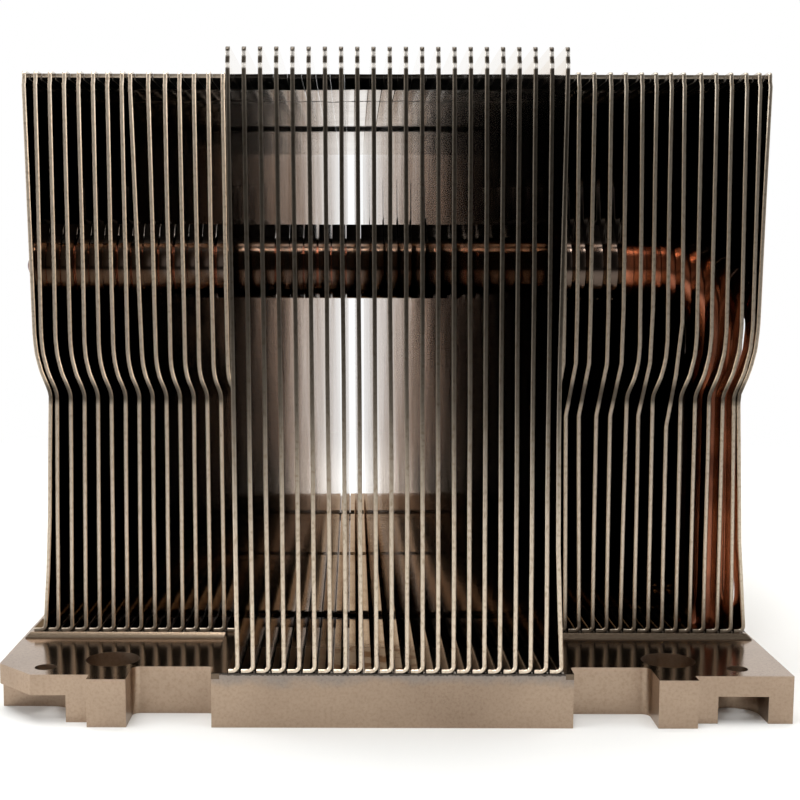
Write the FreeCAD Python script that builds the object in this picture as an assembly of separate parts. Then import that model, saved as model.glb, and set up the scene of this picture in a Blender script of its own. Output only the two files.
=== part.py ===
"""Passive heatsink for a narrow server processor socket, for a chassis two rack units high.

A machined, nickel-plated base carries 52 folded sheet fins, soldered down by their feet, and two
C-shaped heat pipes. The centre fins run the whole length; the side fins stop short of both ends,
which leaves a clear shaft above each of the four screw holes.

Frame: origin at the centre of the base's underside, X across the fins, Y along the air flow
(front at -Y), Z up. All sizes are in millimetres.
"""
import FreeCAD
import Part

import math
import os
from collections import namedtuple

from FreeCAD import Vector

# ---------------------------------------------------------------- overall sizes
BASE_LENGTH = 108.0
BASE_WIDTH = 78.0
OVERALL_HEIGHT = 64.0

# ---------------------------------------------------------------- base plate
EAR_HEIGHT = 4.75
PLATEAU_HEIGHT = 5.35
EAR_SETBACK = 1.5           # ear front face behind the boss front face
RECESS_DEPTH = 4.4          # pocket between the boss and each lug
RECESS_FILLET = 0.8
BOSS_MARGIN = 1.21          # boss side beyond the outermost centre fin
LUG_WIDTH = 3.8
LUG_INNER_REACH = 2.4       # lug's inner side from the screw hole axis, towards the boss
EAR_CHAMFER = 3.9           # keyed corner, front left ear only
PAD_INSET = 0.3             # side pads inside the base's long sides
PAD_LEAD = 0.6              # side pads ahead of the side fins
PAD_BEVEL = 0.5

SCREW_PITCH_X = 56.0
SCREW_PITCH_Y = 94.0
SCREW_HOLE_DIAMETER = 5.4
SCREW_SHAFT_REACH = 8.5     # side fins kept this far from the screw axes

CLIP_PITCH_X = 68.3
CLIP_PITCH_Y = 99.8
CLIP_HOLE_DIAMETER = 2.1
CLIP_SLOT_WIDTH = 4.9
CLIP_SLOT_HEIGHT = 2.7

# ---------------------------------------------------------------- fins
CENTRE_FIN_COUNT = 22
SIDE_FIN_COUNT = 15
SHEET = 0.4
FOLD_RADIUS = 0.5           # centre line of the foot and flange folds
FOLD_GAP = 0.15             # free edge of a foot or flange to the next fin
LEFT_FOOT_MARGIN = 2.23     # first fin's web from the base's left side
RIGHT_WEB_MARGIN = 0.89     # last fin's web from the base's right side
STACK_CLOSING = 0.25        # two stacks stand this much closer to each other than a pitch
FIRST_FOOT_LENGTH = 1.2
TIP_CORNER = 0.55           # upper front corner taken off each fin
FLANGE_INSET = 2.5          # all top flanges start this far behind the side fins' front ends

JOG_LEFT = 0.7              # outward step of the left fin next to the centre stack
JOG_RIGHT = 0.93            # and of the right one
JOG_GROWTH = 0.063          # each further side fin steps out by this much more
JOG_HEIGHT = 30.6           # where the step starts
JOG_SLOPE = 27.0            # steepest lean of the step, degrees from upright
KNEE_RADIUS = 1.2           # below the steepest part; the shoulder's radius above it is derived
FOLD_CHORD = 60.0           # folds and knees are walked in chords of about this angle
SHOULDER_CHORD = 9.0

LEFT_WAIST_LEAN = 0.45      # the first left fin leans in by this much below the step
LEFT_WAIST_STEP = 0.045     # and each next one by this much less
RIGHT_WAIST_LEAN = -0.18    # right fins draw in a little below the step
CROWN_LEAN = 0.3            # all crowns lean left
CROWN_LEAN_STEP = 0.022     # growing by this much from fin to fin until CROWN_LEAN
CENTRE_LEAN = 0.52          # lean of a centre fin from foot to top
BELLY_HEIGHT = 15.0         # where a bent fin's lower web bows out most
PRESSED_WAIST = -0.33       # sideways shift of the last fin but one at its waist
PRESSED_GAP = 0.08          # air left there by the last fin, which is pressed against it
LAST_FOOT_SHIFT = -0.15

# ---------------------------------------------------------------- heat pipes
PIPE_DIAMETER = 6.0
PIPE_HEIGHT = 44.2          # axis of the run through the fins
PIPE_SPACING = 66.0
PIPE_BEND_RADIUS = 7.5
PIPE_LOWER_BEND_RADIUS = 5.5
PIPE_LEG_INSET = 3.8        # leg's axis inside the base's right side
PIPE_END_INSET = 0.2        # swaged end inside the base's left side
PIPE_FLAT_HEIGHT = 4.0      # flattened length inside the base
PIPE_SECTION_FLAT = 0.03    # least flat between a section's two half circles
LOWER_BEND_STEPS = 3
PIPE_FLAT_END_INSET = 9.0   # end of the flattened length inside the base's left side
PIPE_COVER = 0.1            # flattened pipe below the plateau
PIPE_FIT = 0.05             # solder film round the pipe
PIPE_SLOT_CLEARANCE = 0.25  # fin slots round the bend and the upright leg
SLOT_SCAN = 0.1             # height step in which a slot's ends are looked for
SLOT_LEAST_RISE = 0.1       # a slot with less between its round ends is a round hole
HOLE_SIDES = 12             # flats of each hole in the repeated fins
PIPE_END_TAPER = 1.2        # length and depth of the swaged end's cone

# ---------------------------------------------------------------- derived places
FIN_COUNT = CENTRE_FIN_COUNT + 2 * SIDE_FIN_COUNT
FIRST_WEB_X = -BASE_WIDTH / 2 + LEFT_FOOT_MARGIN
LAST_WEB_X = BASE_WIDTH / 2 - RIGHT_WEB_MARGIN
FIN_PITCH = (LAST_WEB_X - FIRST_WEB_X + 2 * STACK_CLOSING) / (FIN_COUNT - 1)
FIRST_CENTRE_FIN = SIDE_FIN_COUNT
LAST_CENTRE_FIN = SIDE_FIN_COUNT + CENTRE_FIN_COUNT - 1

HALF_LENGTH = BASE_LENGTH / 2
HALF_WIDTH = BASE_WIDTH / 2
SIDE_FIN_HALF = SCREW_PITCH_Y / 2 - SCREW_SHAFT_REACH
FLANGE_FRONT = FLANGE_INSET - SIDE_FIN_HALF
PAD_HALF_LENGTH = SIDE_FIN_HALF + PAD_LEAD
BOSS_HALF_WIDTH = FIRST_WEB_X + LAST_CENTRE_FIN * FIN_PITCH - STACK_CLOSING + BOSS_MARGIN

Bend = namedtuple("Bend", "foot belly waist tip", defaults=(0.0, 0.0, 0.0, 0.0))

LAST_WAIST = PRESSED_WAIST - LAST_FOOT_SHIFT - FIN_PITCH + SHEET + PRESSED_GAP

# Fins knocked out of line, by their number from the left: sideways shift of each place on them.
# A shift of the foot or waist carries on upwards.
BENT_FINS = {
    0: Bend(foot=0.1, belly=0.24, waist=0.66, tip=-0.48),
    8: Bend(tip=-0.65),
    9: Bend(tip=-0.25),
    36: Bend(belly=-0.22, waist=-0.51, tip=0.51),
    38: Bend(waist=-0.2),
    39: Bend(waist=-0.35, tip=0.2),
    42: Bend(waist=0.25, tip=-0.15),
    45: Bend(tip=-0.23),
    50: Bend(waist=PRESSED_WAIST, tip=0.15),
    51: Bend(foot=LAST_FOOT_SHIFT, belly=-0.23, waist=LAST_WAIST, tip=0.9),
}

PIPE_RADIUS = PIPE_DIAMETER / 2
PIPE_PLACES = (-PIPE_SPACING / 2, PIPE_SPACING / 2)
PIPE_LEG_X = HALF_WIDTH - PIPE_LEG_INSET
PIPE_END_X = PIPE_END_INSET - HALF_WIDTH
PIPE_FLAT_END_X = PIPE_FLAT_END_INSET - HALF_WIDTH
PIPE_UPPER_CENTRE = (PIPE_LEG_X - PIPE_BEND_RADIUS, PIPE_HEIGHT - PIPE_BEND_RADIUS)
PIPE_FLAT_Z = PLATEAU_HEIGHT - PIPE_COVER - PIPE_FLAT_HEIGHT / 2
PIPE_LOWER_CENTRE = (PIPE_LEG_X - PIPE_LOWER_BEND_RADIUS, PIPE_FLAT_Z + PIPE_LOWER_BEND_RADIUS)
# A flattened pipe keeps its circumference: two half circles joined by two flats.
PIPE_FLAT_SPAN = (math.pi * PIPE_DIAMETER - math.pi * PIPE_FLAT_HEIGHT) / 2
PIPE_FLAT_WIDTH = PIPE_FLAT_HEIGHT + PIPE_FLAT_SPAN

# The lower bend is this far round where it passes the plateau, and has widened to this.
PIPE_FOOT_TURN = math.asin((PIPE_LOWER_CENTRE[1] - PLATEAU_HEIGHT) / PIPE_LOWER_BEND_RADIUS)
PIPE_FOOT_WIDTH = PIPE_DIAMETER + (PIPE_FLAT_WIDTH - PIPE_DIAMETER) * PIPE_FOOT_TURN / (math.pi / 2)

OVERSHOOT = 1.0             # cutting tools past the surface they start from
REACH = 400.0               # longer than any piece, for cutting tools


# ---------------------------------------------------------------- bent sheet
class SheetPath:
    """A bent sheet's section: a centre line walked in the X-Z plane, half a sheet thick each side.

    Bends are walked in chords, so a section stays a polygon.
    """

    def __init__(self, x, z, heading):
        self.x, self.z, self.heading = x, z, heading
        self.places = [(x, z)]

    def forward(self, distance):
        """Straight on."""
        angle = math.radians(self.heading)
        self.x += distance * math.cos(angle)
        self.z += distance * math.sin(angle)
        self.places.append((self.x, self.z))
        return self

    def turn(self, angle, radius, chord=FOLD_CHORD):
        """Round a bend of the centre line; a positive angle turns to the left."""
        chords = max(1, round(abs(angle) / chord))
        half_step = angle / chords / 2
        for _ in range(chords):
            self.heading += half_step
            self.forward(2 * radius * math.sin(math.radians(abs(half_step))))
            self.heading += half_step
        return self

    def aim(self, x, z):
        """Turn on the spot towards a place."""
        self.heading = math.degrees(math.atan2(z - self.z, x - self.x))
        return self

    def rise_to(self, height):
        """Straight on up to a height of the centre line."""
        return self.forward((height - self.z) / math.sin(math.radians(self.heading)))

    def _offset(self, distance):
        """The centre line moved sideways, its corners mitred."""
        spans = list(zip(self.places, self.places[1:]))
        spans = [(a, b) for a, b in spans if math.dist(a, b) > 1e-6]
        headings = [math.atan2(b[1] - a[1], b[0] - a[0]) for a, b in spans]
        corners = [spans[0][0]] + [b for _, b in spans]
        before = headings[:1] + headings
        after = headings + headings[-1:]
        moved = []
        for (x, z), first, second in zip(corners, before, after):
            middle = (first + second) / 2
            reach = distance / math.cos((second - first) / 2)
            moved.append((x - reach * math.sin(middle), z + reach * math.cos(middle)))
        return moved

    def prism(self, y_from, y_to):
        """The sheet between two places along Y."""
        outline = self._offset(SHEET / 2) + self._offset(-SHEET / 2)[::-1]
        corners = [Vector(x, y_from, z) for x, z in outline]
        face = Part.Face(Part.makePolygon(corners + corners[:1]))
        return face.extrude(Vector(0, y_to - y_from, 0))


class Fin:
    """One folded fin: a foot, an upright web (stepped outward on the side fins) and a top flange."""

    def __init__(self, index):
        self.index = index
        if index < FIRST_CENTRE_FIN:
            self.group, self.number, self.step = "left", index + 1, -1
        elif index <= LAST_CENTRE_FIN:
            self.group, self.number, self.step = "centre", index - FIRST_CENTRE_FIN + 1, 0
        else:
            self.group, self.number, self.step = "right", index - LAST_CENTRE_FIN, 1
        self.name = f"fin_{self.group}_{self.number:02d}"
        self.half_length = HALF_LENGTH if self.step == 0 else SIDE_FIN_HALF
        bend = BENT_FINS.get(index, Bend())
        self.foot_x = FIRST_WEB_X + index * FIN_PITCH - (self.step + 1) * STACK_CLOSING + bend.foot
        lean = min(index * CROWN_LEAN_STEP, CROWN_LEAN)
        if self.step < 0:
            self.jog = JOG_LEFT + (FIRST_CENTRE_FIN - 1 - index) * JOG_GROWTH
            waist_lean = LEFT_WAIST_LEAN - index * LEFT_WAIST_STEP
        elif self.step > 0:
            self.jog = JOG_RIGHT + (index - LAST_CENTRE_FIN - 1) * JOG_GROWTH
            waist_lean = RIGHT_WAIST_LEAN
        else:
            self.jog = 0.0
            waist_lean = -CENTRE_LEAN * (JOG_HEIGHT - PLATEAU_HEIGHT) / (OVERALL_HEIGHT - PLATEAU_HEIGHT)
            lean = CENTRE_LEAN + waist_lean
        self.waist_x = self.foot_x + waist_lean + bend.waist
        self.tip_x = min(self.waist_x + self.step * self.jog - lean + bend.tip, HALF_WIDTH - SHEET / 2)
        self.knots = []
        if bend.belly:
            part = (BELLY_HEIGHT - PLATEAU_HEIGHT) / (JOG_HEIGHT - PLATEAU_HEIGHT)
            belly_x = self.foot_x + part * (self.waist_x - self.foot_x) + bend.belly
            self.knots.append((belly_x, BELLY_HEIGHT))
        if self.step or bend.waist:
            self.knots.append((self.waist_x, JOG_HEIGHT))
        self.line = self._web(self.foot_x - FIN_PITCH).rise_to(OVERALL_HEIGHT).places

    def _web(self, foot_end):
        """Foot and web with its step, left pointing along the upper web."""
        path = SheetPath(foot_end, PLATEAU_HEIGHT + SHEET / 2, 0.0)
        target_x, target_z = (self.knots + [(self.tip_x, OVERALL_HEIGHT)])[0]
        lean = math.degrees(math.atan2(self.foot_x - target_x, target_z - path.z - FOLD_RADIUS))
        path.forward(self.foot_x - FOLD_RADIUS - foot_end)
        path.turn(90 + lean, FOLD_RADIUS)
        for x, z in self.knots:
            path.aim(x, z).rise_to(z)
        if self.step:
            slope = math.radians(JOG_SLOPE)
            knee_shift = KNEE_RADIUS * (1 - math.cos(slope))
            shoulder_radius = (self.jog - knee_shift) / (1 - math.cos(slope))
            shoulder_z = path.z + (KNEE_RADIUS + shoulder_radius) * math.sin(slope)
            shoulder_x = path.x + self.step * self.jog
            upper = 90 + math.degrees(math.atan2(shoulder_x - self.tip_x, OVERALL_HEIGHT - shoulder_z))
            path.turn(90 - self.step * JOG_SLOPE - path.heading, KNEE_RADIUS)
            path.turn(upper - path.heading, shoulder_radius, SHOULDER_CHORD)
        return path.aim(self.tip_x, OVERALL_HEIGHT)

    def web_x(self, height):
        """Web centre line at a height."""
        if height <= self.line[0][1]:
            return self.foot_x
        for (x, z), (next_x, next_z) in zip(self.line, self.line[1:]):
            if height <= next_z:
                return x + (next_x - x) * (height - z) / (next_z - z)
        return self.tip_x

    def sheet(self, left_neighbour):
        """The folded sheet without its holes."""
        if left_neighbour is None:
            foot_end, flange_end = self.foot_x - FIRST_FOOT_LENGTH, None
        else:
            foot_end = left_neighbour.foot_x + SHEET / 2 + FOLD_GAP
            flange_end = left_neighbour.web_x(OVERALL_HEIGHT) + SHEET / 2 + FOLD_GAP
        half = self.half_length
        plain = self._web(foot_end)
        tilt = abs(math.cos(math.radians(plain.heading)))
        plain.rise_to(OVERALL_HEIGHT - tilt * SHEET / 2)
        if flange_end is None:
            return plain.prism(-half, half)
        folded = self._web(foot_end)
        fold_rise = FOLD_RADIUS * (1 + math.cos(math.radians(folded.heading)))
        folded.rise_to(OVERALL_HEIGHT - SHEET / 2 - fold_rise)
        folded.turn(180 - folded.heading, FOLD_RADIUS)
        folded.forward(folded.x - flange_end)
        free_end = plain.prism(-half, FLANGE_FRONT)
        return folded.prism(FLANGE_FRONT, half).fuse(free_end).removeSplitter()

    def shape(self, left_neighbour):
        """The finished fin."""
        tools = [tip_corner(self.half_length)]
        webs = [self.web_x(PIPE_HEIGHT + rise) for rise in (-PIPE_RADIUS, 0, PIPE_RADIUS)]
        straight = max(webs) + SHEET / 2 < PIPE_UPPER_CENTRE[0]
        slots = [] if straight else self.pipe_slots()
        for y in PIPE_PLACES:
            if straight:
                tools.append(round_hole(y, PIPE_HEIGHT, PIPE_RADIUS + PIPE_FIT))
            tools += [slot_tool(y, low, high) for low, high in slots]
        return self.sheet(left_neighbour).cut(tools).removeSplitter()

    def pipe_slots(self):
        """Height ranges in which the pipe's bend and leg pass through this fin."""
        runs, start = [], None
        height = PLATEAU_HEIGHT
        while height < OVERALL_HEIGHT:
            span = pipe_span(height)
            web = self.web_x(height)
            inside = span is not None and span[0] < web + SHEET / 2 and span[1] > web - SHEET / 2
            if inside and start is None:
                start = height
            if not inside and start is not None:
                runs.append((start, height))
                start = None
            height += SLOT_SCAN
        return join_close(runs)


def join_close(runs):
    """Merge height ranges that leave too thin a bridge between them."""
    joined = []
    for low, high in runs:
        if joined and low - joined[-1][1] < PIPE_DIAMETER:
            joined[-1] = (joined[-1][0], high)
        else:
            joined.append((low, high))
    return joined


def pipe_span(height):
    """The pipe's extent along X at a height, with its slot clearance; None where it isn't."""
    reach = PIPE_RADIUS + PIPE_SLOT_CLEARANCE
    if PIPE_LOWER_CENTRE[1] <= height <= PIPE_UPPER_CENTRE[1]:
        return PIPE_LEG_X - reach, PIPE_LEG_X + reach
    if height > PIPE_UPPER_CENTRE[1]:
        (x, z), bend = PIPE_UPPER_CENTRE, PIPE_BEND_RADIUS
    else:
        (x, z), bend = PIPE_LOWER_CENTRE, PIPE_LOWER_BEND_RADIUS
    rise = abs(height - z)
    if rise >= bend + reach:
        return None
    outer = x + math.sqrt((bend + reach) ** 2 - rise ** 2)
    inner = x + math.sqrt((bend - reach) ** 2 - rise ** 2) if rise < bend - reach else -REACH
    return inner, outer


# ---------------------------------------------------------------- cutting tools
def tip_corner(half_length):
    """Tool that takes the upper front corner off a fin."""
    front, back = -half_length - OVERSHOOT, -half_length + TIP_CORNER + OVERSHOOT
    top, bottom = OVERALL_HEIGHT + OVERSHOOT, OVERALL_HEIGHT - TIP_CORNER - OVERSHOOT
    corners = [Vector(-REACH / 2, y, z) for y, z in ((front, top), (front, bottom), (back, top))]
    return Part.Face(Part.makePolygon(corners + corners[:1])).extrude(Vector(REACH, 0, 0))


def round_hole(y, z, radius):
    """A hole tool along X: HOLE_SIDES flats that touch the circle of this radius from outside."""
    corner_radius = radius / math.cos(math.pi / HOLE_SIDES)
    angles = [2 * math.pi * (side + 0.5) / HOLE_SIDES for side in range(HOLE_SIDES)]
    corners = [Vector(-REACH / 2, y + corner_radius * math.cos(a), z + corner_radius * math.sin(a))
               for a in angles]
    return Part.Face(Part.makePolygon(corners + corners[:1])).extrude(Vector(REACH, 0, 0))


def slot_tool(y, low, high):
    """A slot through a fin for the pipe's bend or leg, rounded at its closed ends."""
    through_foot = low <= PLATEAU_HEIGHT + FOLD_RADIUS
    width = PIPE_FOOT_WIDTH if through_foot else PIPE_DIAMETER
    radius = width / 2 + PIPE_SLOT_CLEARANCE
    top = high - radius
    bottom = PLATEAU_HEIGHT - SHEET if through_foot else low + radius
    if top - bottom < SLOT_LEAST_RISE:
        return round_hole(y, (low + high) / 2, radius)
    middle = Part.makeBox(REACH, 2 * radius, top - bottom, Vector(-REACH / 2, y - radius, bottom))
    ends = [round_hole(y, top, radius)]
    if not through_foot:
        ends.append(round_hole(y, bottom, radius))
    return middle.fuse(ends).removeSplitter()


# ---------------------------------------------------------------- heat pipe
def flattened_section(centre, direction, height, span):
    """Two half circles joined by flats, the flats along Y, square to a direction in the X-Z plane."""
    up = direction.cross(Vector(0, 1, 0)).normalize()
    side = Vector(0, 1, 0)
    radius = height / 2
    corners = [centre + side * (s * span / 2) + up * (u * radius)
               for s, u in ((1, 1), (1, -1), (-1, -1), (-1, 1))]
    tips = [centre + side * (s * (span / 2 + radius)) for s in (1, -1)]
    return Part.Wire([
        Part.Arc(corners[0], tips[0], corners[1]).toShape(),
        Part.makeLine(corners[1], corners[2]),
        Part.Arc(corners[2], tips[1], corners[3]).toShape(),
        Part.makeLine(corners[3], corners[0]),
    ])


def heat_pipe(y):
    """A C-shaped pipe: round run through the fins, upright leg, and a flattened run in the base."""
    (bend_x, bend_z), (low_x, low_z) = PIPE_UPPER_CENTRE, PIPE_LOWER_CENTRE
    run_start = PIPE_END_X + PIPE_END_TAPER
    along = Vector(1, 0, 0)
    swaged_end = Part.makeCone(PIPE_RADIUS - PIPE_END_TAPER, PIPE_RADIUS, PIPE_END_TAPER,
                               Vector(PIPE_END_X, 0, PIPE_HEIGHT), along)
    run = Part.makeCylinder(PIPE_RADIUS, bend_x - run_start, Vector(run_start, 0, PIPE_HEIGHT), along)
    ring = Part.makeTorus(PIPE_BEND_RADIUS, PIPE_RADIUS, Vector(bend_x, 0, bend_z), Vector(0, 1, 0))
    corner = Part.makeBox(REACH, REACH, REACH, Vector(bend_x, -REACH / 2, bend_z))
    leg = Part.makeCylinder(PIPE_RADIUS, bend_z - low_z, Vector(PIPE_LEG_X, 0, low_z))

    # Lower bend, flattening as it turns into the base.
    sections = []
    for index in range(LOWER_BEND_STEPS + 1):
        part = index / LOWER_BEND_STEPS
        angle = part * math.pi / 2
        centre = Vector(low_x + PIPE_LOWER_BEND_RADIUS * math.cos(angle), 0,
                        low_z - PIPE_LOWER_BEND_RADIUS * math.sin(angle))
        direction = Vector(-math.sin(angle), 0, -math.cos(angle))
        height = PIPE_DIAMETER + (PIPE_FLAT_HEIGHT - PIPE_DIAMETER) * part
        span = PIPE_SECTION_FLAT + (PIPE_FLAT_SPAN - PIPE_SECTION_FLAT) * part
        sections.append(flattened_section(centre, direction, height, span))
    bend = Part.makeLoft(sections, True, True)
    flat = Part.Face(sections[-1]).extrude(Vector(PIPE_FLAT_END_X - low_x, 0, 0))
    pipe = run.fuse([swaged_end, ring.common(corner), leg, bend, flat]).removeSplitter()
    pipe.translate(Vector(0, y, 0))
    return pipe


# ---------------------------------------------------------------- base plate
def half_outline():
    """The base's outline for x >= 0 and y < 0, from the front centre to the right side."""
    front = -HALF_LENGTH
    ear_front = front + EAR_SETBACK
    recess = front + RECESS_DEPTH
    lug_inner = SCREW_PITCH_X / 2 - LUG_INNER_REACH
    lug_outer = lug_inner + LUG_WIDTH
    return [
        (BOSS_HALF_WIDTH, front),
        (BOSS_HALF_WIDTH, recess),
        (lug_inner, recess),
        (lug_inner, front),
        (lug_outer, front),
        (lug_outer, ear_front),
        (HALF_WIDTH, ear_front),
    ]


def plate():
    """Plate with its boss, lugs and ears at both ends."""
    quarter = half_outline()
    right = quarter + [(x, -y) for x, y in reversed(quarter)]
    points = right + [(-x, y) for x, y in reversed(right)]
    wire = Part.makePolygon([Vector(x, y, 0) for x, y in points + points[:1]])
    solid = Part.Face(wire).extrude(Vector(0, 0, EAR_HEIGHT))
    recess = HALF_LENGTH - RECESS_DEPTH
    corners = upright_edges(solid, lambda x, y: abs(abs(y) - recess) < 1e-6)
    solid = solid.makeFillet(RECESS_FILLET, corners)
    keyed = upright_edges(solid, lambda x, y: x < EAR_CHAMFER - HALF_WIDTH and y < 0)
    return solid.makeChamfer(EAR_CHAMFER, keyed)


def upright_edges(solid, wanted):
    """Edges along Z whose place in plan is wanted."""
    found = []
    for edge in solid.Edges:
        if len(edge.Vertexes) != 2:
            continue
        a, b = (v.Point for v in edge.Vertexes)
        if abs(a.x - b.x) < 1e-6 and abs(a.y - b.y) < 1e-6 and wanted(a.x, a.y):
            found.append(edge)
    return found


def plateau():
    """Raised seat of the fins: the boss strip from end to end and the bevelled side pads."""
    strip = Part.makeBox(2 * BOSS_HALF_WIDTH, BASE_LENGTH, PLATEAU_HEIGHT,
                         Vector(-BOSS_HALF_WIDTH, -HALF_LENGTH, 0))
    pad_half = HALF_WIDTH - PAD_INSET
    pads = Part.makeBox(2 * pad_half, 2 * PAD_HALF_LENGTH, PLATEAU_HEIGHT,
                        Vector(-pad_half, -PAD_HALF_LENGTH, 0))
    rims = [e for e in pads.Edges if all(abs(v.Z - PLATEAU_HEIGHT) < 1e-6 for v in e.Vertexes)]
    return strip.fuse(pads.makeChamfer(PAD_BEVEL, rims))


def clip_slot(x, y, side):
    """Counterbore under a clip hole, opened to the end of the ear."""
    radius = CLIP_SLOT_WIDTH / 2
    bore = Part.makeCylinder(radius, CLIP_SLOT_HEIGHT, Vector(x, y, 0))
    y_end = side * HALF_LENGTH
    mouth = Part.makeBox(CLIP_SLOT_WIDTH, abs(y_end - y), CLIP_SLOT_HEIGHT,
                         Vector(x - radius, min(y, y_end), 0))
    return bore.fuse(mouth)


def side_pocket():
    """Underside of the keyed ear, cut away from its clip slot out to the left side."""
    slot_x = -CLIP_PITCH_X / 2
    back_y = -CLIP_PITCH_Y / 2 + CLIP_SLOT_WIDTH / 2
    return Part.makeBox(slot_x + HALF_WIDTH, back_y + HALF_LENGTH, CLIP_SLOT_HEIGHT,
                        Vector(-HALF_WIDTH, -HALF_LENGTH, 0))


def pipe_groove(y):
    """Groove in the plateau for a pipe's flattened run and lower bend, round-ended."""
    radius = PIPE_FLAT_WIDTH / 2 + PIPE_FIT
    floor = PIPE_FLAT_Z - PIPE_FLAT_HEIGHT / 2 - PIPE_FIT
    x_from = PIPE_FLAT_END_X - PIPE_FIT
    x_to = PIPE_LEG_X + PIPE_RADIUS + PIPE_SLOT_CLEARANCE - radius
    depth = PLATEAU_HEIGHT - floor
    straight = Part.makeBox(x_to - x_from, 2 * radius, depth, Vector(x_from, y - radius, floor))
    return straight.fuse(Part.makeCylinder(radius, depth, Vector(x_to, y, floor)))


def base():
    """The machined base with its screw holes, clip holes and pipe grooves."""
    solid = plate().fuse(plateau()).removeSplitter()
    tools = [side_pocket()]
    for side_x in (-1, 1):
        for side_y in (-1, 1):
            screw = Vector(side_x * SCREW_PITCH_X / 2, side_y * SCREW_PITCH_Y / 2, 0)
            clip = Vector(side_x * CLIP_PITCH_X / 2, side_y * CLIP_PITCH_Y / 2, 0)
            tools.append(Part.makeCylinder(SCREW_HOLE_DIAMETER / 2, PLATEAU_HEIGHT, screw))
            tools.append(Part.makeCylinder(CLIP_HOLE_DIAMETER / 2, PLATEAU_HEIGHT, clip))
            tools.append(clip_slot(clip.x, clip.y, side_y))
    tools += [pipe_groove(y) for y in PIPE_PLACES]
    return solid.cut(tools).removeSplitter()


# ---------------------------------------------------------------- export
def export(name, shape):
    """Write one piece, which must be one sound solid."""
    solids = shape.Solids
    if len(solids) != 1 or not solids[0].isValid():
        print(f"{name}: {len(solids)} solids, valid {[s.isValid() for s in solids]}")
    solids[0].exportStep(f"parts/{name}.step")


def main():
    """Build every piece and write it to parts/."""
    os.makedirs("parts", exist_ok=True)
    export("base", base())
    for name, y in zip(("heat_pipe_front", "heat_pipe_rear"), PIPE_PLACES):
        export(name, heat_pipe(y))
    neighbour = None
    for index in range(FIN_COUNT):
        fin = Fin(index)
        export(fin.name, fin.shape(neighbour))
        neighbour = fin


main()
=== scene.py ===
"""Visual model of a passive heatsink for a narrow server processor socket.

A plated, machined base carries folded sheet fins soldered down by their feet, and two C-shaped
heat pipes that run through collars drawn in the fins. Everything is in metres, in the frame of
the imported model: X across the fins, Y along the air flow with the front at -Y, Z up.
"""

import logging
import math
from dataclasses import dataclass, field
from enum import Enum

import bmesh
import bpy
import numpy as np
from mathutils import Euler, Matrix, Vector


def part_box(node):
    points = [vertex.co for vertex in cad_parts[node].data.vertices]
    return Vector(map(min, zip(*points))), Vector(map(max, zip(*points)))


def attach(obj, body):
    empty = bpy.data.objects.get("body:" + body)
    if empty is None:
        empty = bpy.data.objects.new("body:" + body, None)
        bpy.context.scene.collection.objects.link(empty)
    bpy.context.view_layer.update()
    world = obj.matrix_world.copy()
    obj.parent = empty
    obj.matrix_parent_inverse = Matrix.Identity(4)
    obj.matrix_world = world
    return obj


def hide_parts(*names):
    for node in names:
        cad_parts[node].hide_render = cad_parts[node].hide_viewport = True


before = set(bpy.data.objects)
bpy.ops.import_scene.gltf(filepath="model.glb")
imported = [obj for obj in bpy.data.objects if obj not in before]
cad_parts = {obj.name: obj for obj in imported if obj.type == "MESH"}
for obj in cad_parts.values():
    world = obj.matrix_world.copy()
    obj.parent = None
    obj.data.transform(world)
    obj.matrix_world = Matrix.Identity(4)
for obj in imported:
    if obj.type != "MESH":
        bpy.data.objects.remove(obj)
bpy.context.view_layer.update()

LOG = logging.getLogger("heatsink")
MM = 0.001
WELD = 1e-7  # points nearer than this are one point


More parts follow.
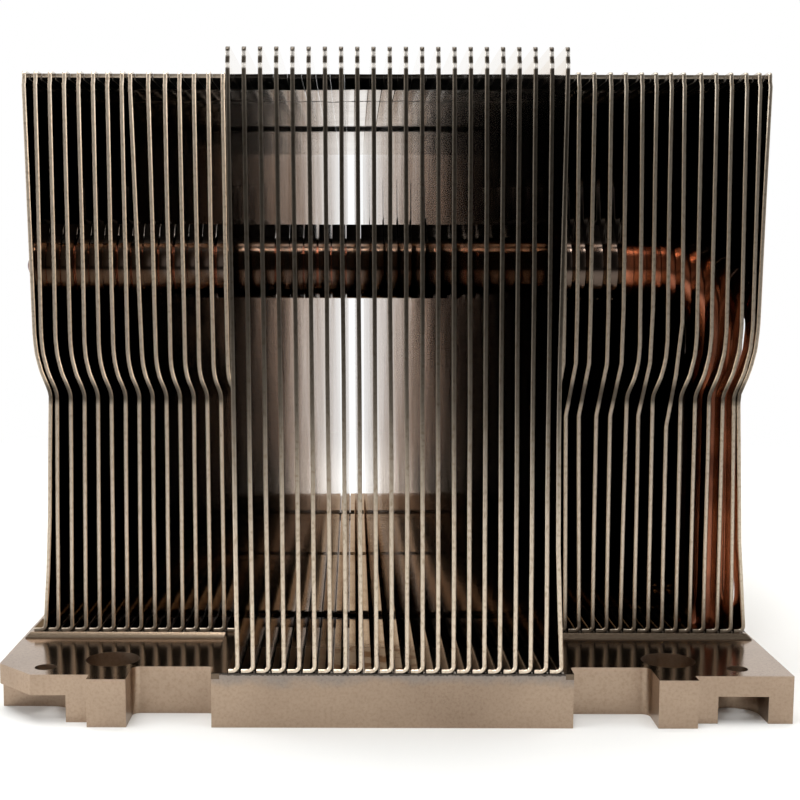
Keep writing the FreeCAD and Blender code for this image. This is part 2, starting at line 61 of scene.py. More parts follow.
# ---------------------------------------------------------------------------- surfaces
@dataclass
class Skin:
    """A surface of four-sided faces with a normal at each point.

    Attributes:
        points: One row of three coordinates per point.
        quads: One row of four point numbers per face.
        normals: One unit vector per point, on the side the faces look to.
    """

    points: np.ndarray
    quads: np.ndarray
    normals: np.ndarray

    @classmethod
    def of_grid(cls, points: np.ndarray, normals: np.ndarray, keep: np.ndarray | None = None) -> "Skin":
        """Makes a surface from a grid of rows and columns of points.

        Args:
            points: Array of shape (rows, columns, 3).
            normals: Array of the same shape.
            keep: True for each cell of the grid that has a face; all of them if None.

        Returns:
            The surface, with a face for each kept cell.
        """
        rows, columns = points.shape[:2]
        number = np.arange(rows * columns).reshape(rows, columns)
        cells = np.stack([number[:-1, :-1], number[1:, :-1], number[1:, 1:], number[:-1, 1:]], axis=-1)
        chosen = cells.reshape(-1, 4) if keep is None else cells[keep]
        return cls(points.reshape(-1, 3), chosen, normals.reshape(-1, 3))

    @classmethod
    def welded(cls, skins: list["Skin"]) -> "Skin":
        """Joins surfaces and makes one point of those that coincide.

        Args:
            skins: The surfaces to join.

        Returns:
            One surface with no doubled and no unused points.
        """
        starts = np.cumsum([0] + [len(skin.points) for skin in skins[:-1]])
        points = np.concatenate([skin.points for skin in skins])
        normals = np.concatenate([skin.normals for skin in skins])
        quads = np.concatenate([skin.quads + start for skin, start in zip(skins, starts)])
        keys = np.round(points / WELD).astype(np.int64)
        _, first, again = np.unique(keys, axis=0, return_index=True, return_inverse=True)
        quads = again.reshape(-1)[quads]
        used, renumbered = np.unique(quads, return_inverse=True)
        return cls(points[first][used], renumbered.reshape(quads.shape), normals[first][used])

    def thickened(self, half: np.ndarray) -> "Skin":
        """Gives the surface a wall: a copy on each side and a strip round every free edge.

        Each point moves along its normal by plus and minus its half thickness.

        Args:
            half: Half the wall at each point.

        Returns:
            A closed surface.
        """
        count = len(self.points)
        shift = self.normals * half[:, None]
        edges = np.stack([self.quads, np.roll(self.quads, -1, axis=1)], axis=-1).reshape(-1, 2)
        _, index, times = np.unique(np.sort(edges, axis=1), axis=0, return_index=True, return_counts=True)
        free = edges[index[times == 1]]
        strip = np.stack([free[:, 1], free[:, 0], free[:, 0] + count, free[:, 1] + count], axis=1)
        return Skin(
            np.concatenate([self.points + shift, self.points - shift]),
            np.concatenate([self.quads, self.quads[:, ::-1] + count, strip]),
            np.concatenate([self.normals, -self.normals]),
        )


def mesh_object(
    name: str, skin: Skin, sharp_degrees: float = 35.0, marks: dict[str, np.ndarray] | None = None
) -> bpy.types.Object:
    """Puts a surface into a mesh object, smooth apart from its sharp edges.

    Args:
        name: Name of the object.
        skin: The surface.
        sharp_degrees: Edges that turn by more than this stay sharp.
        marks: Values per point for the finish to read, by name.

    Returns:
        The object, linked to the scene, with its place in its mesh.
    """
    mesh = bpy.data.meshes.new(name)
    mesh.vertices.add(len(skin.points))
    mesh.vertices.foreach_set("co", skin.points.astype(np.float32).ravel())
    mesh.loops.add(skin.quads.size)
    mesh.loops.foreach_set("vertex_index", skin.quads.astype(np.int32).ravel())
    mesh.polygons.add(len(skin.quads))
    mesh.polygons.foreach_set("loop_start", np.arange(0, skin.quads.size, 4, dtype=np.int32))
    mesh.update(calc_edges=True)
    mesh.validate()
    for mark, values in (marks or {}).items():
        mesh.attributes.new(mark, "FLOAT", "POINT").data.foreach_set("value", values.astype(np.float32))
    return finished(name, mesh, sharp_degrees)


def finished(name: str, mesh: bpy.types.Mesh, sharp_degrees: float) -> bpy.types.Object:
    """Closes a mesh's open ends, turns its faces outwards, shades it and links its object.

    Args:
        name: Name of the object.
        mesh: The mesh.
        sharp_degrees: Edges that turn by more than this stay sharp.

    Returns:
        The linked object.
    """
    shape = bmesh.new()
    shape.from_mesh(mesh)
    open_edges = [edge for edge in shape.edges if edge.is_boundary]
    if open_edges:
        bmesh.ops.holes_fill(shape, edges=open_edges)
    bmesh.ops.recalc_face_normals(shape, faces=shape.faces)
    shape.to_mesh(mesh)
    shape.free()
    mesh.polygons.foreach_set("use_smooth", np.ones(len(mesh.polygons), dtype=bool))
    mesh.set_sharp_from_angle(angle=math.radians(sharp_degrees))
    piece = bpy.data.objects.new(name, mesh)
    bpy.context.scene.collection.objects.link(piece)
    return piece


def spread(stops: list[float], widest: float) -> np.ndarray:
    """Lines through every stop, with even ones between where two stops lie far apart.

    Args:
        stops: Places that must have a line.
        widest: Widest gap left between lines.

    Returns:
        The places in rising order.
    """
    fixed = np.unique(np.round(np.array(stops) / WELD) * WELD)
    runs = [
        np.linspace(low, high, max(1, math.ceil((high - low) / widest - 1e-6)) + 1)[:-1]
        for low, high in zip(fixed[:-1], fixed[1:])
    ]
    return np.concatenate(runs + [fixed[-1:]])


# ---------------------------------------------------------------------------- finishes
def linear(code: str) -> tuple[float, float, float, float]:
    """Turns an sRGB hex colour into linear red, green, blue and alpha.

    Args:
        code: Six hex digits after a hash sign.

    Returns:
        The four linear values.
    """
    parts = np.array([int(code[i : i + 2], 16) for i in (1, 3, 5)]) / 255
    low, high = parts / 12.92, ((parts + 0.055) / 1.055) ** 2.4
    return (*np.where(parts <= 0.04045, low, high).tolist(), 1.0)


WHITE = linear("#ffffff")


def add_node(
    tree: bpy.types.NodeTree, kind: str, settings: dict | None = None, inputs: dict | None = None
) -> bpy.types.Node:
    """Adds a node with its settings, values and links.

    Args:
        tree: The node tree.
        kind: Blender's name for the node type.
        settings: Properties of the node; "stops" holds a ramp's (place, colour) pairs.
        inputs: Value, or output socket of another node, for each input by name or number.

    Returns:
        The node.
    """
    node = tree.nodes.new(kind)
    for key, value in (settings or {}).items():
        if key != "stops":
            setattr(node, key, value)
            continue
        ramp = node.color_ramp
        while len(ramp.elements) < len(value):
            ramp.elements.new(1.0)
        for element, (place, colour) in zip(ramp.elements, value):
            element.position, element.color = place, colour
    for key, value in (inputs or {}).items():
        if isinstance(value, bpy.types.NodeSocket):
            tree.links.new(value, node.inputs[key])
        else:
            node.inputs[key].default_value = value
    return node


def blank_material(name: str) -> tuple[bpy.types.Material, bpy.types.NodeTree]:
    """Makes a material with an empty node tree.

    Args:
        name: Name of the finish.

    Returns:
        The material and its tree.
    """
    material = bpy.data.materials.new(name)
    material.use_nodes = True
    material.node_tree.nodes.clear()
    return material, material.node_tree


def ramp_along(
    tree: bpy.types.NodeTree, place: bpy.types.NodeSocket, stops: tuple[tuple[float, float], ...]
) -> bpy.types.NodeSocket:
    """A value that changes along an axis in straight runs.

    Args:
        tree: The node tree.
        place: Place on the axis in metres.
        stops: Place in millimetres and value of each corner, in rising order.

    Returns:
        The value's socket.
    """
    low, high = stops[0][0], stops[-1][0]
    share = add_node(
        tree, "ShaderNodeMapRange", inputs={0: place, 1: low * MM, 2: high * MM}
    ).outputs[0]
    corners = [((at - low) / (high - low), (value, value, value, 1.0)) for at, value in stops]
    return add_node(tree, "ShaderNodeValToRGB", {"stops": corners}, {0: share}).outputs[0]


def lumps(place: bpy.types.NodeSocket, size_mm: float, detail: float = 3.0) -> dict:
    """Inputs of a noise whose lumps have a real size.

    Args:
        place: Object coordinates.
        size_mm: Size of the lumps in millimetres.
        detail: Finer layers on the lumps.

    Returns:
        The inputs by name or number, for a noise node.
    """
    return {0: place, "Scale": 1 / (size_mm * MM), "Detail": detail, "Roughness": 0.6}


def where_all(tree: bpy.types.NodeTree, *shares: bpy.types.NodeSocket) -> bpy.types.NodeSocket:
    """Where several conditions hold together: the product of their shares.

    Args:
        tree: The node tree.
        shares: Two or more shares from 0 to 1.

    Returns:
        The product's socket.
    """
    product = shares[0]
    for share in shares[1:]:
        product = add_node(
            tree, "ShaderNodeMath", {"operation": "MULTIPLY"}, {0: product, 1: share}
        ).outputs[0]
    return product


def layered(
    tree: bpy.types.NodeTree, colour: bpy.types.NodeSocket | tuple,
    *layers: tuple[bpy.types.NodeSocket, bpy.types.NodeSocket | tuple],
) -> bpy.types.NodeSocket:
    """Lays colours over one another, each as dense as its share.

    Args:
        tree: The node tree.
        colour: The lowest colour, or its socket.
        layers: Share and colour of each layer, from the bottom up.

    Returns:
        The socket of what is seen from above.
    """
    for share, cover in layers:
        colour = add_node(
            tree, "ShaderNodeMix", {"data_type": "RGBA"}, {0: share, 6: colour, 7: cover}
        ).outputs[2]
    return colour


@dataclass(frozen=True)
class NickelSheet:
    """Thin rolled copper sheet under bright nickel: mirror faces, dull sheared ends.

    The eye sees dark mirrors between the fins, beige hatching at their ends, black bands under
    the flanges and brown flux on the feet. Painted shade darkens the ends by height, the feet
    towards the side packs and the tops of the collars; painted sheen pales the free crown and
    painted highlights sit on the long fins' tips. Fields that end in _mm hold places in
    millimetres, and where they hold pairs, each is a place and how much of the effect shows there.

    Attributes:
        face: The plating on the faces.
        pale_light: Painted sheen: paler plating on the free crown, unshaded by any flange, and on the tips'
            highlights.
        face_stain: Its slow stains.
        foot_flux_and_shade_mm: Flux on the feet, by place across the fins, with painted shade that darkens the feet
            under the side packs.
        foot_rust: Red-brown flux among it.
        soot_and_shade: Black of burnt flux and of painted shade, under the flanges and on the collar tops.
        cut: The sheared ends.
        cut_speck: Their specks.
        graze: Tint of shallow reflections inside the pack.
        collar: Darker colour of the collars round the pipes.
        dim: Multiplies the ends that look away from the light.
        lintel: Multiplies the ends of the centre flanges with painted shade.
        face_roughness: Roughness of the faces, as the other roughness fields are of theirs.
        foot_roughness: The feet's at the front end and behind it.
        stain_size_mm: Size of the stains, as the other size fields are of their patterns.
        black_band_wander_mm: How far the black bands' edges wander along the fins.
        ripple_depth_mm: Depth of the faces' slow waves.
        long_fin_mm: Only the long centre fins reach past this place.
        free_front_mm: In front of this place, counted forwards, the crown has its painted sheen and untinted
            reflections.
        front_foot_mm: Flux thins out between these places along the feet.
        rust_reach_mm: Rusty flux across the fins.
        rust_forward: How much of it there is at the front end and behind it.
        foot_height_mm: Flux by height.
        sheen_height_mm: The crown's painted sheen by height.
        tip_glints_mm: Two painted highlights on each long fin's tip, by height.
        side_end_shade_mm: Painted shade on the short fins' ends by height: darker at the foot and in a band at the
            knee.
        centre_end_shade_mm: The same on the long centre fins, much darker upwards: a painted reflection of the dim
            room in front.
        black_bands_mm: Black bands along the flanges.
        black_band_height_mm: The same by height.
        channel_height_mm: Painted shade, with burnt flux, on the tops of the collars and the solder channels by
            height.
        dim_reach_mm: Ends that look away from the light, across the fins.
        dim_height_mm: The same by height.
        lintel_reach_mm: Centre flanges across the fins.
        lintel_height_mm: The same by height.
        graze_height_mm: Tint of shallow reflections by height, behind the free front.
        graze_front_height_mm: The same everywhere.
    """

    name: str = "bright_nickel_fin_sheet"
    face: str = "#dcd2c6"
    pale_light: str = "#f2ece4"
    face_stain: str = "#bcae9f"
    foot_flux_and_shade_mm: tuple[tuple[float, str], ...] = (
        (-17.5, "#26211d"), (-16.0, "#4c3a2e"), (-8.0, "#7c6754"), (-4.8, "#d6c5ae"), (2.0, "#d2c2ae"),
        (6.0, "#a89a8b"), (16.0, "#8d8175"), (17.5, "#26211d"),
    )
    foot_rust: str = "#8a5c38"
    soot_and_shade: str = "#120e0c"
    cut: str = "#d8c8b4"
    cut_speck: str = "#bca992"
    graze: str = "#cbb8a6"
    collar: str = "#544840"
    dim: str = "#95999b"
    lintel: str = "#3f3f3f"
    face_roughness: float = 0.07
    collar_roughness: float = 0.15
    cut_roughness: float = 0.33
    soot_and_shade_roughness: float = 0.85
    foot_roughness: tuple[float, float] = (0.3, 0.13)
    stain_size_mm: float = 9.0
    speck_size_mm: float = 0.35
    rust_size_mm: float = 2.4
    black_band_size_mm: float = 1.5
    black_band_wander_mm: float = 3.0
    ripple_size_mm: float = 7.0
    ripple_depth_mm: float = 0.03
    long_fin_mm: float = 46.0
    free_front_mm: float = 36.5
    front_foot_mm: tuple[float, float] = (-46.0, -43.0)
    rust_reach_mm: tuple[tuple[float, float], ...] = ((-8.0, 0.0), (-5.0, 0.9), (1.5, 0.9), (4.0, 0.0))
    rust_forward: tuple[float, float] = (1.0, 0.25)
    foot_height_mm: tuple[tuple[float, float], ...] = ((5.3, 1.0), (5.9, 0.85), (6.8, 0.0))
    sheen_height_mm: tuple[tuple[float, float], ...] = ((52.0, 0.0), (60.0, 1.0))
    tip_glints_mm: tuple[tuple[float, float], ...] = (
        (61.9, 0.0), (62.1, 0.75), (62.35, 0.75), (62.5, 0.0), (63.0, 0.0), (63.2, 0.6), (63.45, 0.6), (63.6, 0.0),
    )
    side_end_shade_mm: tuple[tuple[float, float], ...] = (
        (5.0, 0.45), (9.0, 0.8), (16.0, 0.95), (29.6, 1.0), (30.3, 0.28), (31.6, 0.3), (32.6, 1.0), (64.0, 0.95),
    )
    centre_end_shade_mm: tuple[tuple[float, float], ...] = (
        (5.0, 1.0), (20.0, 0.95), (26.0, 0.6), (31.0, 0.3), (40.0, 0.15), (56.0, 0.11), (61.0, 0.16), (64.0, 0.12),
    )
    black_bands_mm: tuple[tuple[float, float], ...] = (
        (-35.5, 0.0), (-34.5, 1.0), (-26.0, 1.0), (-25.0, 0.0), (-15.5, 0.0), (-15.1, 0.7), (-14.7, 0.0),
        (10.5, 0.0), (12.5, 0.75), (17.5, 0.75), (19.5, 0.0),
    )
    black_band_height_mm: tuple[tuple[float, float], ...] = ((63.2, 0.0), (63.45, 1.0), (63.7, 1.0), (63.8, 0.0))
    channel_height_mm: tuple[tuple[float, float], ...] = ((46.5, 0.0), (47.0, 1.0))
    dim_reach_mm: tuple[tuple[float, float], ...] = ((16.2, 0.0), (17.0, 1.0), (39.0, 0.75))
    dim_height_mm: tuple[tuple[float, float], ...] = ((36.0, 0.0), (44.0, 0.25), (56.0, 0.6), (61.0, 0.85))
    lintel_reach_mm: tuple[tuple[float, float], ...] = ((-16.2, 0.0), (-15.8, 1.0), (16.0, 1.0), (16.4, 0.0))
    lintel_height_mm: tuple[tuple[float, float], ...] = ((63.3, 0.0), (63.5, 1.0))
    graze_height_mm: tuple[tuple[float, float], ...] = ((62.0, 1.0), (63.0, 0.0))
    graze_front_height_mm: tuple[tuple[float, float], ...] = ((50.0, 1.0), (58.0, 0.0))

    def _cut_colour(self, tree: bpy.types.NodeTree, place: bpy.types.NodeSocket) -> bpy.types.NodeSocket:
        """Colour of the sheared ends: speckled beige, with painted shade by height and place: darker at the knee,
        on the upper centre fins and where they look away from the light.

        Args:
            tree: The node tree.
            place: Object coordinates.

        Returns:
            The colour's socket.
        """
        axes = add_node(tree, "ShaderNodeSeparateXYZ", inputs={0: place}).outputs
        along = add_node(tree, "ShaderNodeMath", {"operation": "ABSOLUTE"}, {0: axes["Y"]}).outputs[0]
        long_fin, short_fin = (
            add_node(
                tree, "ShaderNodeMath", {"operation": test}, {0: along, 1: self.long_fin_mm * MM}
            ).outputs[0]
            for test in ("GREATER_THAN", "LESS_THAN")
        )
        away = where_all(
            tree, ramp_along(tree, axes["X"], self.dim_reach_mm), ramp_along(tree, axes["Z"], self.dim_height_mm)
        )
        over_centre = where_all(
            tree, ramp_along(tree, axes["X"], self.lintel_reach_mm), short_fin,
            ramp_along(tree, axes["Z"], self.lintel_height_mm),
        )
        # painted shade on the ends: tones by height, the upper centre fins and flanges, and ends that look away
        # from the light
        painted_end_shade = layered(
            tree, ramp_along(tree, axes["Z"], self.side_end_shade_mm),
            (long_fin, ramp_along(tree, axes["Z"], self.centre_end_shade_mm)),
            (away, linear(self.dim)),
            (over_centre, linear(self.lintel)),
        )
        noise = add_node(tree, "ShaderNodeTexNoise", inputs=lumps(place, self.speck_size_mm)).outputs[0]
        specks = add_node(
            tree, "ShaderNodeValToRGB",
            {"stops": [(0.34, linear(self.cut_speck)), (0.5, linear(self.cut))]}, {0: noise},
        ).outputs[0]
        return add_node(
            tree, "ShaderNodeMix", {"data_type": "RGBA", "blend_type": "MULTIPLY"}, {0: 1.0, 6: specks, 7: painted_end_shade}
        ).outputs[2]

    def _foot_colour(self, tree: bpy.types.NodeTree, place: bpy.types.NodeSocket) -> bpy.types.NodeSocket:
        """Colour of the feet: tan flux that changes across the fins, with red-brown patches; the change across the
        fins is partly painted shade, dark under the side packs.

        Args:
            tree: The node tree.
            place: Object coordinates.

        Returns:
            The colour's socket.
        """
        axes = add_node(tree, "ShaderNodeSeparateXYZ", inputs={0: place}).outputs
        first, last = self.foot_flux_and_shade_mm[0][0], self.foot_flux_and_shade_mm[-1][0]
        across = add_node(
            tree, "ShaderNodeMapRange", inputs={0: axes["X"], 1: first * MM, 2: last * MM}
        ).outputs[0]
        # painted shade: the tones across the fins darken the feet under the side packs
        tan = add_node(
            tree, "ShaderNodeValToRGB",
            {"stops": [((at - first) / (last - first), linear(code)) for at, code in self.foot_flux_and_shade_mm]},
            {0: across},
        ).outputs[0]
        noise = add_node(tree, "ShaderNodeTexNoise", inputs=lumps(place, self.rust_size_mm, 5.0)).outputs[0]
        patches = add_node(tree, "ShaderNodeMapRange", inputs={0: noise, 1: 0.5, 2: 0.58}).outputs[0]
        start, end = (at * MM for at in self.front_foot_mm)
        forward = add_node(
            tree, "ShaderNodeMapRange",
            inputs={0: axes["Y"], 1: start, 2: end, 3: self.rust_forward[0], 4: self.rust_forward[1]},
        ).outputs[0]
        rusty = where_all(tree, patches, forward, ramp_along(tree, axes["X"], self.rust_reach_mm))
        return layered(tree, tan, (rusty, linear(self.foot_rust)))

    def _face_colour(self, tree: bpy.types.NodeTree, place: bpy.types.NodeSocket) -> bpy.types.NodeSocket:
        """Colour of the faces: warm nickel with slow stains, flux and painted shade at the feet, painted sheen at
        the crown.

        Args:
            tree: The node tree.
            place: Object coordinates.

        Returns:
            The colour's socket.
        """
        axes = add_node(tree, "ShaderNodeSeparateXYZ", inputs={0: place}).outputs
        noise = add_node(tree, "ShaderNodeTexNoise", inputs=lumps(place, self.stain_size_mm)).outputs[0]
        plain = add_node(
            tree, "ShaderNodeValToRGB",
            {"stops": [(0.42, linear(self.face)), (0.75, linear(self.face_stain))]}, {0: noise},
        ).outputs[0]
        free = add_node(
            tree, "ShaderNodeMath", {"operation": "LESS_THAN"}, {0: axes["Y"], 1: -self.free_front_mm * MM}
        ).outputs[0]
        # painted sheen: the free crown in front of the flanges is painted paler
        sheen_share = where_all(
            tree, free, ramp_along(tree, axes["Z"], self.sheen_height_mm),
            ramp_along(tree, axes["X"], self.lintel_reach_mm),
        )
        return layered(
            tree, plain, (self._near_foot(tree, place), self._foot_colour(tree, place)),
            (sheen_share, linear(self.pale_light)),
        )

    def _soot_and_shade(self, tree: bpy.types.NodeTree, place: bpy.types.NodeSocket, collar: bpy.types.NodeSocket
              ) -> bpy.types.NodeSocket:
        """Where the sheet is black: bands under the flanges, and painted shade with burnt flux on the tops of the
        collars and solder channels.

        Args:
            tree: The node tree.
            place: Object coordinates.
            collar: The collar mark.

        Returns:
            1 where it is black, 0 elsewhere.
        """
        axes = add_node(tree, "ShaderNodeSeparateXYZ", inputs={0: place}).outputs
        noise = add_node(tree, "ShaderNodeTexNoise", inputs=lumps(place, self.black_band_size_mm)).outputs[0]
        ragged = add_node(
            tree, "ShaderNodeMath", {"operation": "MULTIPLY_ADD"},
            {0: noise, 1: self.black_band_wander_mm * MM, 2: axes["Y"]},
        ).outputs[0]
        flange = where_all(
            tree, ramp_along(tree, ragged, self.black_bands_mm), ramp_along(tree, axes["Z"], self.black_band_height_mm)
        )
        # painted shade: collar and channel tops above a height are made black
        channel = where_all(tree, collar, ramp_along(tree, axes["Z"], self.channel_height_mm))
        return add_node(tree, "ShaderNodeMath", {"operation": "MAXIMUM"}, {0: flange, 1: channel}).outputs[0]

    def _near_foot(self, tree: bpy.types.NodeTree, place: bpy.types.NodeSocket) -> bpy.types.NodeSocket:
        """1 on the foot and its fold, 0 on the web."""
        height = add_node(tree, "ShaderNodeSeparateXYZ", inputs={0: place}).outputs["Z"]
        return ramp_along(tree, height, self.foot_height_mm)

    def _graze(self, tree: bpy.types.NodeTree, place: bpy.types.NodeSocket) -> bpy.types.NodeSocket:
        """Tint of shallow reflections: tarnished inside the pack, untinted in front and at the crown.

        Args:
            tree: The node tree.
            place: Object coordinates.

        Returns:
            The tint's socket.
        """
        axes = add_node(tree, "ShaderNodeSeparateXYZ", inputs={0: place}).outputs
        inside = add_node(
            tree, "ShaderNodeMapRange",
            inputs={0: axes["Y"], 1: -(self.free_front_mm + 1) * MM, 2: -self.free_front_mm * MM},
        ).outputs[0]
        below = where_all(tree, inside, ramp_along(tree, axes["Z"], self.graze_height_mm))
        tarnished = add_node(
            tree, "ShaderNodeMath", {"operation": "MAXIMUM"},
            {0: below, 1: ramp_along(tree, axes["Z"], self.graze_front_height_mm)},
        ).outputs[0]
        return layered(tree, WHITE, (tarnished, linear(self.graze)))

    def material(self) -> bpy.types.Material:
        """Makes the material.

        Returns:
            A metal whose faces mirror what stands behind the pack and whose ends look sheared.
        """
        material, tree = blank_material(self.name)
        place = add_node(tree, "ShaderNodeTexCoord").outputs["Object"]
        axes = add_node(tree, "ShaderNodeSeparateXYZ", inputs={0: place}).outputs
        cut, collar = (
            add_node(tree, "ShaderNodeAttribute", {"attribute_name": mark}).outputs["Fac"]
            for mark in ("cut_end", "collar")
        )
        soot_and_shade_share = self._soot_and_shade(tree, place, collar)
        front_end = add_node(
            tree, "ShaderNodeMath", {"operation": "LESS_THAN"}, {0: axes["Y"], 1: -self.long_fin_mm * MM}
        ).outputs[0]
        # painted highlights: two pale, non-metal spots on each long fin's tip
        glint = where_all(tree, front_end, ramp_along(tree, axes["Z"], self.tip_glints_mm), cut)
        colour = layered(
            tree, self._face_colour(tree, place), (collar, linear(self.collar)), (soot_and_shade_share, linear(self.soot_and_shade)),
            (cut, self._cut_colour(tree, place)), (glint, linear(self.pale_light)),
        )
        dull = add_node(tree, "ShaderNodeMath", {"operation": "MAXIMUM"}, {0: soot_and_shade_share, 1: glint}).outputs[0]
        metal = add_node(tree, "ShaderNodeMapRange", inputs={0: dull, 3: 1.0, 4: 0.0}).outputs[0]
        start, end = (at * MM for at in self.front_foot_mm)
        worn = add_node(
            tree, "ShaderNodeMapRange",
            inputs={0: axes["Y"], 1: start, 2: end, 3: self.foot_roughness[0], 4: self.foot_roughness[1]},
        ).outputs[0]
        roughness = self.face_roughness
        for share, rough in (
            (collar, self.collar_roughness), (self._near_foot(tree, place), worn),
            (soot_and_shade_share, self.soot_and_shade_roughness), (cut, self.cut_roughness),
        ):
            roughness = add_node(tree, "ShaderNodeMapRange", inputs={0: share, 3: roughness, 4: rough}).outputs[0]
        ripple = add_node(tree, "ShaderNodeTexNoise", inputs=lumps(place, self.ripple_size_mm, 1.0)).outputs[0]
        bump = add_node(
            tree, "ShaderNodeBump",
            inputs={"Height": ripple, "Distance": self.ripple_depth_mm * MM, "Strength": 0.4},
        ).outputs[0]
        shader = add_node(
            tree, "ShaderNodeBsdfPrincipled",
            inputs={"Base Color": colour, "Metallic": metal, "Roughness": roughness, "Normal": bump,
                    "Specular Tint": self._graze(tree, place)},
        )
        add_node(tree, "ShaderNodeOutputMaterial", inputs={0: shader.outputs[0]})
        return material


@dataclass(frozen=True)
class PlatedBase:
    """Milled copper under satin nickel: warm grey, polished on top, stained by flux at the fins.

    The eye sees a soft mirror of the fins on top, an even grain on the sides, and below the
    centre fins a dark line of solder with a ragged grey stain. Fields that end in _mm hold
    places in millimetres, and pairs a place and how much of the effect shows there.

    Attributes:
        plate: The plating.
        stain: Its slow stains.
        flux: Flux run down the boss's front face.
        speck: Multiplies the plating in the hollows of its mottle.
        solder_line: Solder along the boss's front edge.
        riser: The plateau's upright edge.
        top_roughness: Roughness where the surface looks up.
        side_roughness: The same where it stands upright.
        grain_size_mm: Size of the grain, as the other size fields are of their patterns.
        grain_depth_mm: Depth of the grain.
        flux_wander_mm: How far the flux's lower edge wanders.
        solder_wander_mm: The same for the solder line's.
        boss_front_mm: Place of the boss's front face, counted forwards.
        boss_half_mm: Half the boss's width.
        riser_from_mm: Risers start this far from the middle.
        flux_height_mm: Flux by height.
        solder_height_mm: The solder line by height.
        riser_height_mm: The risers by height.
    """

    name: str = "satin_nickel_on_milled_copper"
    plate: str = "#ad9884"
    stain: str = "#968270"
    flux: str = "#8c8681"
    speck: str = "#ece8e4"
    solder_line: str = "#332e2a"
    riser: str = "#6f6152"
    top_roughness: float = 0.16
    side_roughness: float = 0.34
    grain_size_mm: float = 0.25
    grain_depth_mm: float = 0.012
    mottle_size_mm: float = 0.3
    stain_size_mm: float = 14.0
    flux_size_mm: float = 2.8
    flux_wander_mm: float = 2.4
    solder_wander_mm: float = 0.5
    boss_front_mm: float = 53.7
    boss_half_mm: float = 18.0
    riser_from_mm: float = 16.6
    flux_height_mm: tuple[tuple[float, float], ...] = ((5.3, 0.0), (6.3, 0.75))
    solder_height_mm: tuple[tuple[float, float], ...] = ((5.38, 0.0), (5.44, 0.85))
    riser_height_mm: tuple[tuple[float, float], ...] = ((4.77, 0.0), (4.8, 1.0), (5.3, 1.0), (5.4, 0.0))

    def _ragged_height(self, tree: bpy.types.NodeTree, place: bpy.types.NodeSocket, size_mm: float,
                       wander_mm: float) -> bpy.types.NodeSocket:
        """Height above the table, raised here and there by a noise.

        Args:
            tree: The node tree.
            place: Object coordinates.
            size_mm: Size of the noise's lumps.
            wander_mm: How far the noise raises the height at most.

        Returns:
            The height's socket.
        """
        height = add_node(tree, "ShaderNodeSeparateXYZ", inputs={0: place}).outputs["Z"]
        noise = add_node(tree, "ShaderNodeTexNoise", inputs=lumps(place, size_mm)).outputs[0]
        return add_node(
            tree, "ShaderNodeMath", {"operation": "MULTIPLY_ADD"}, {0: noise, 1: wander_mm * MM, 2: height}
        ).outputs[0]

    def _colour(self, tree: bpy.types.NodeTree, place: bpy.types.NodeSocket, facing: bpy.types.NodeSocket
                ) -> bpy.types.NodeSocket:
        """Colour of the base: stained plating, flux and solder at the boss, brown risers, a mottle.

        Args:
            tree: The node tree.
            place: Object coordinates.
            facing: How far the surface looks up, from 0 to 1.

        Returns:
            The colour's socket.
        """
        axes = add_node(tree, "ShaderNodeSeparateXYZ", inputs={0: place}).outputs
        noise = add_node(tree, "ShaderNodeTexNoise", inputs=lumps(place, self.stain_size_mm, 5.0)).outputs[0]
        plain = add_node(
            tree, "ShaderNodeValToRGB",
            {"stops": [(0.4, linear(self.plate)), (0.8, linear(self.stain))]}, {0: noise},
        ).outputs[0]
        aside = add_node(tree, "ShaderNodeMath", {"operation": "ABSOLUTE"}, {0: axes["X"]}).outputs[0]
        ahead, within, beyond = (
            add_node(tree, "ShaderNodeMath", {"operation": test}, {0: value, 1: limit * MM}).outputs[0]
            for test, value, limit in (
                ("LESS_THAN", axes["Y"], -self.boss_front_mm),
                ("LESS_THAN", aside, self.boss_half_mm),
                ("GREATER_THAN", aside, self.riser_from_mm),
            )
        )
        boss = where_all(tree, ahead, within)
        run_down = self._ragged_height(tree, place, self.flux_size_mm, self.flux_wander_mm)
        edge = self._ragged_height(tree, place, self.mottle_size_mm, self.solder_wander_mm)
        upright = add_node(
            tree, "ShaderNodeMapRange", inputs={0: facing, 1: 0.95, 2: 0.85, 3: 0.0, 4: 1.0}
        ).outputs[0]
        colour = layered(
            tree, plain,
            (where_all(tree, boss, ramp_along(tree, run_down, self.flux_height_mm)), linear(self.flux)),
            (where_all(tree, boss, ramp_along(tree, edge, self.solder_height_mm)), linear(self.solder_line)),
            (where_all(tree, upright, beyond, ramp_along(tree, axes["Z"], self.riser_height_mm)),
             linear(self.riser)),
        )
        fine = add_node(tree, "ShaderNodeTexNoise", inputs=lumps(place, self.mottle_size_mm, 5.0)).outputs[0]
        mottle = add_node(
            tree, "ShaderNodeValToRGB", {"stops": [(0.3, linear(self.speck)), (0.55, WHITE)]}, {0: fine}
        ).outputs[0]
        return add_node(
            tree, "ShaderNodeMix", {"data_type": "RGBA", "blend_type": "MULTIPLY"}, {0: 1.0, 6: colour, 7: mottle}
        ).outputs[2]

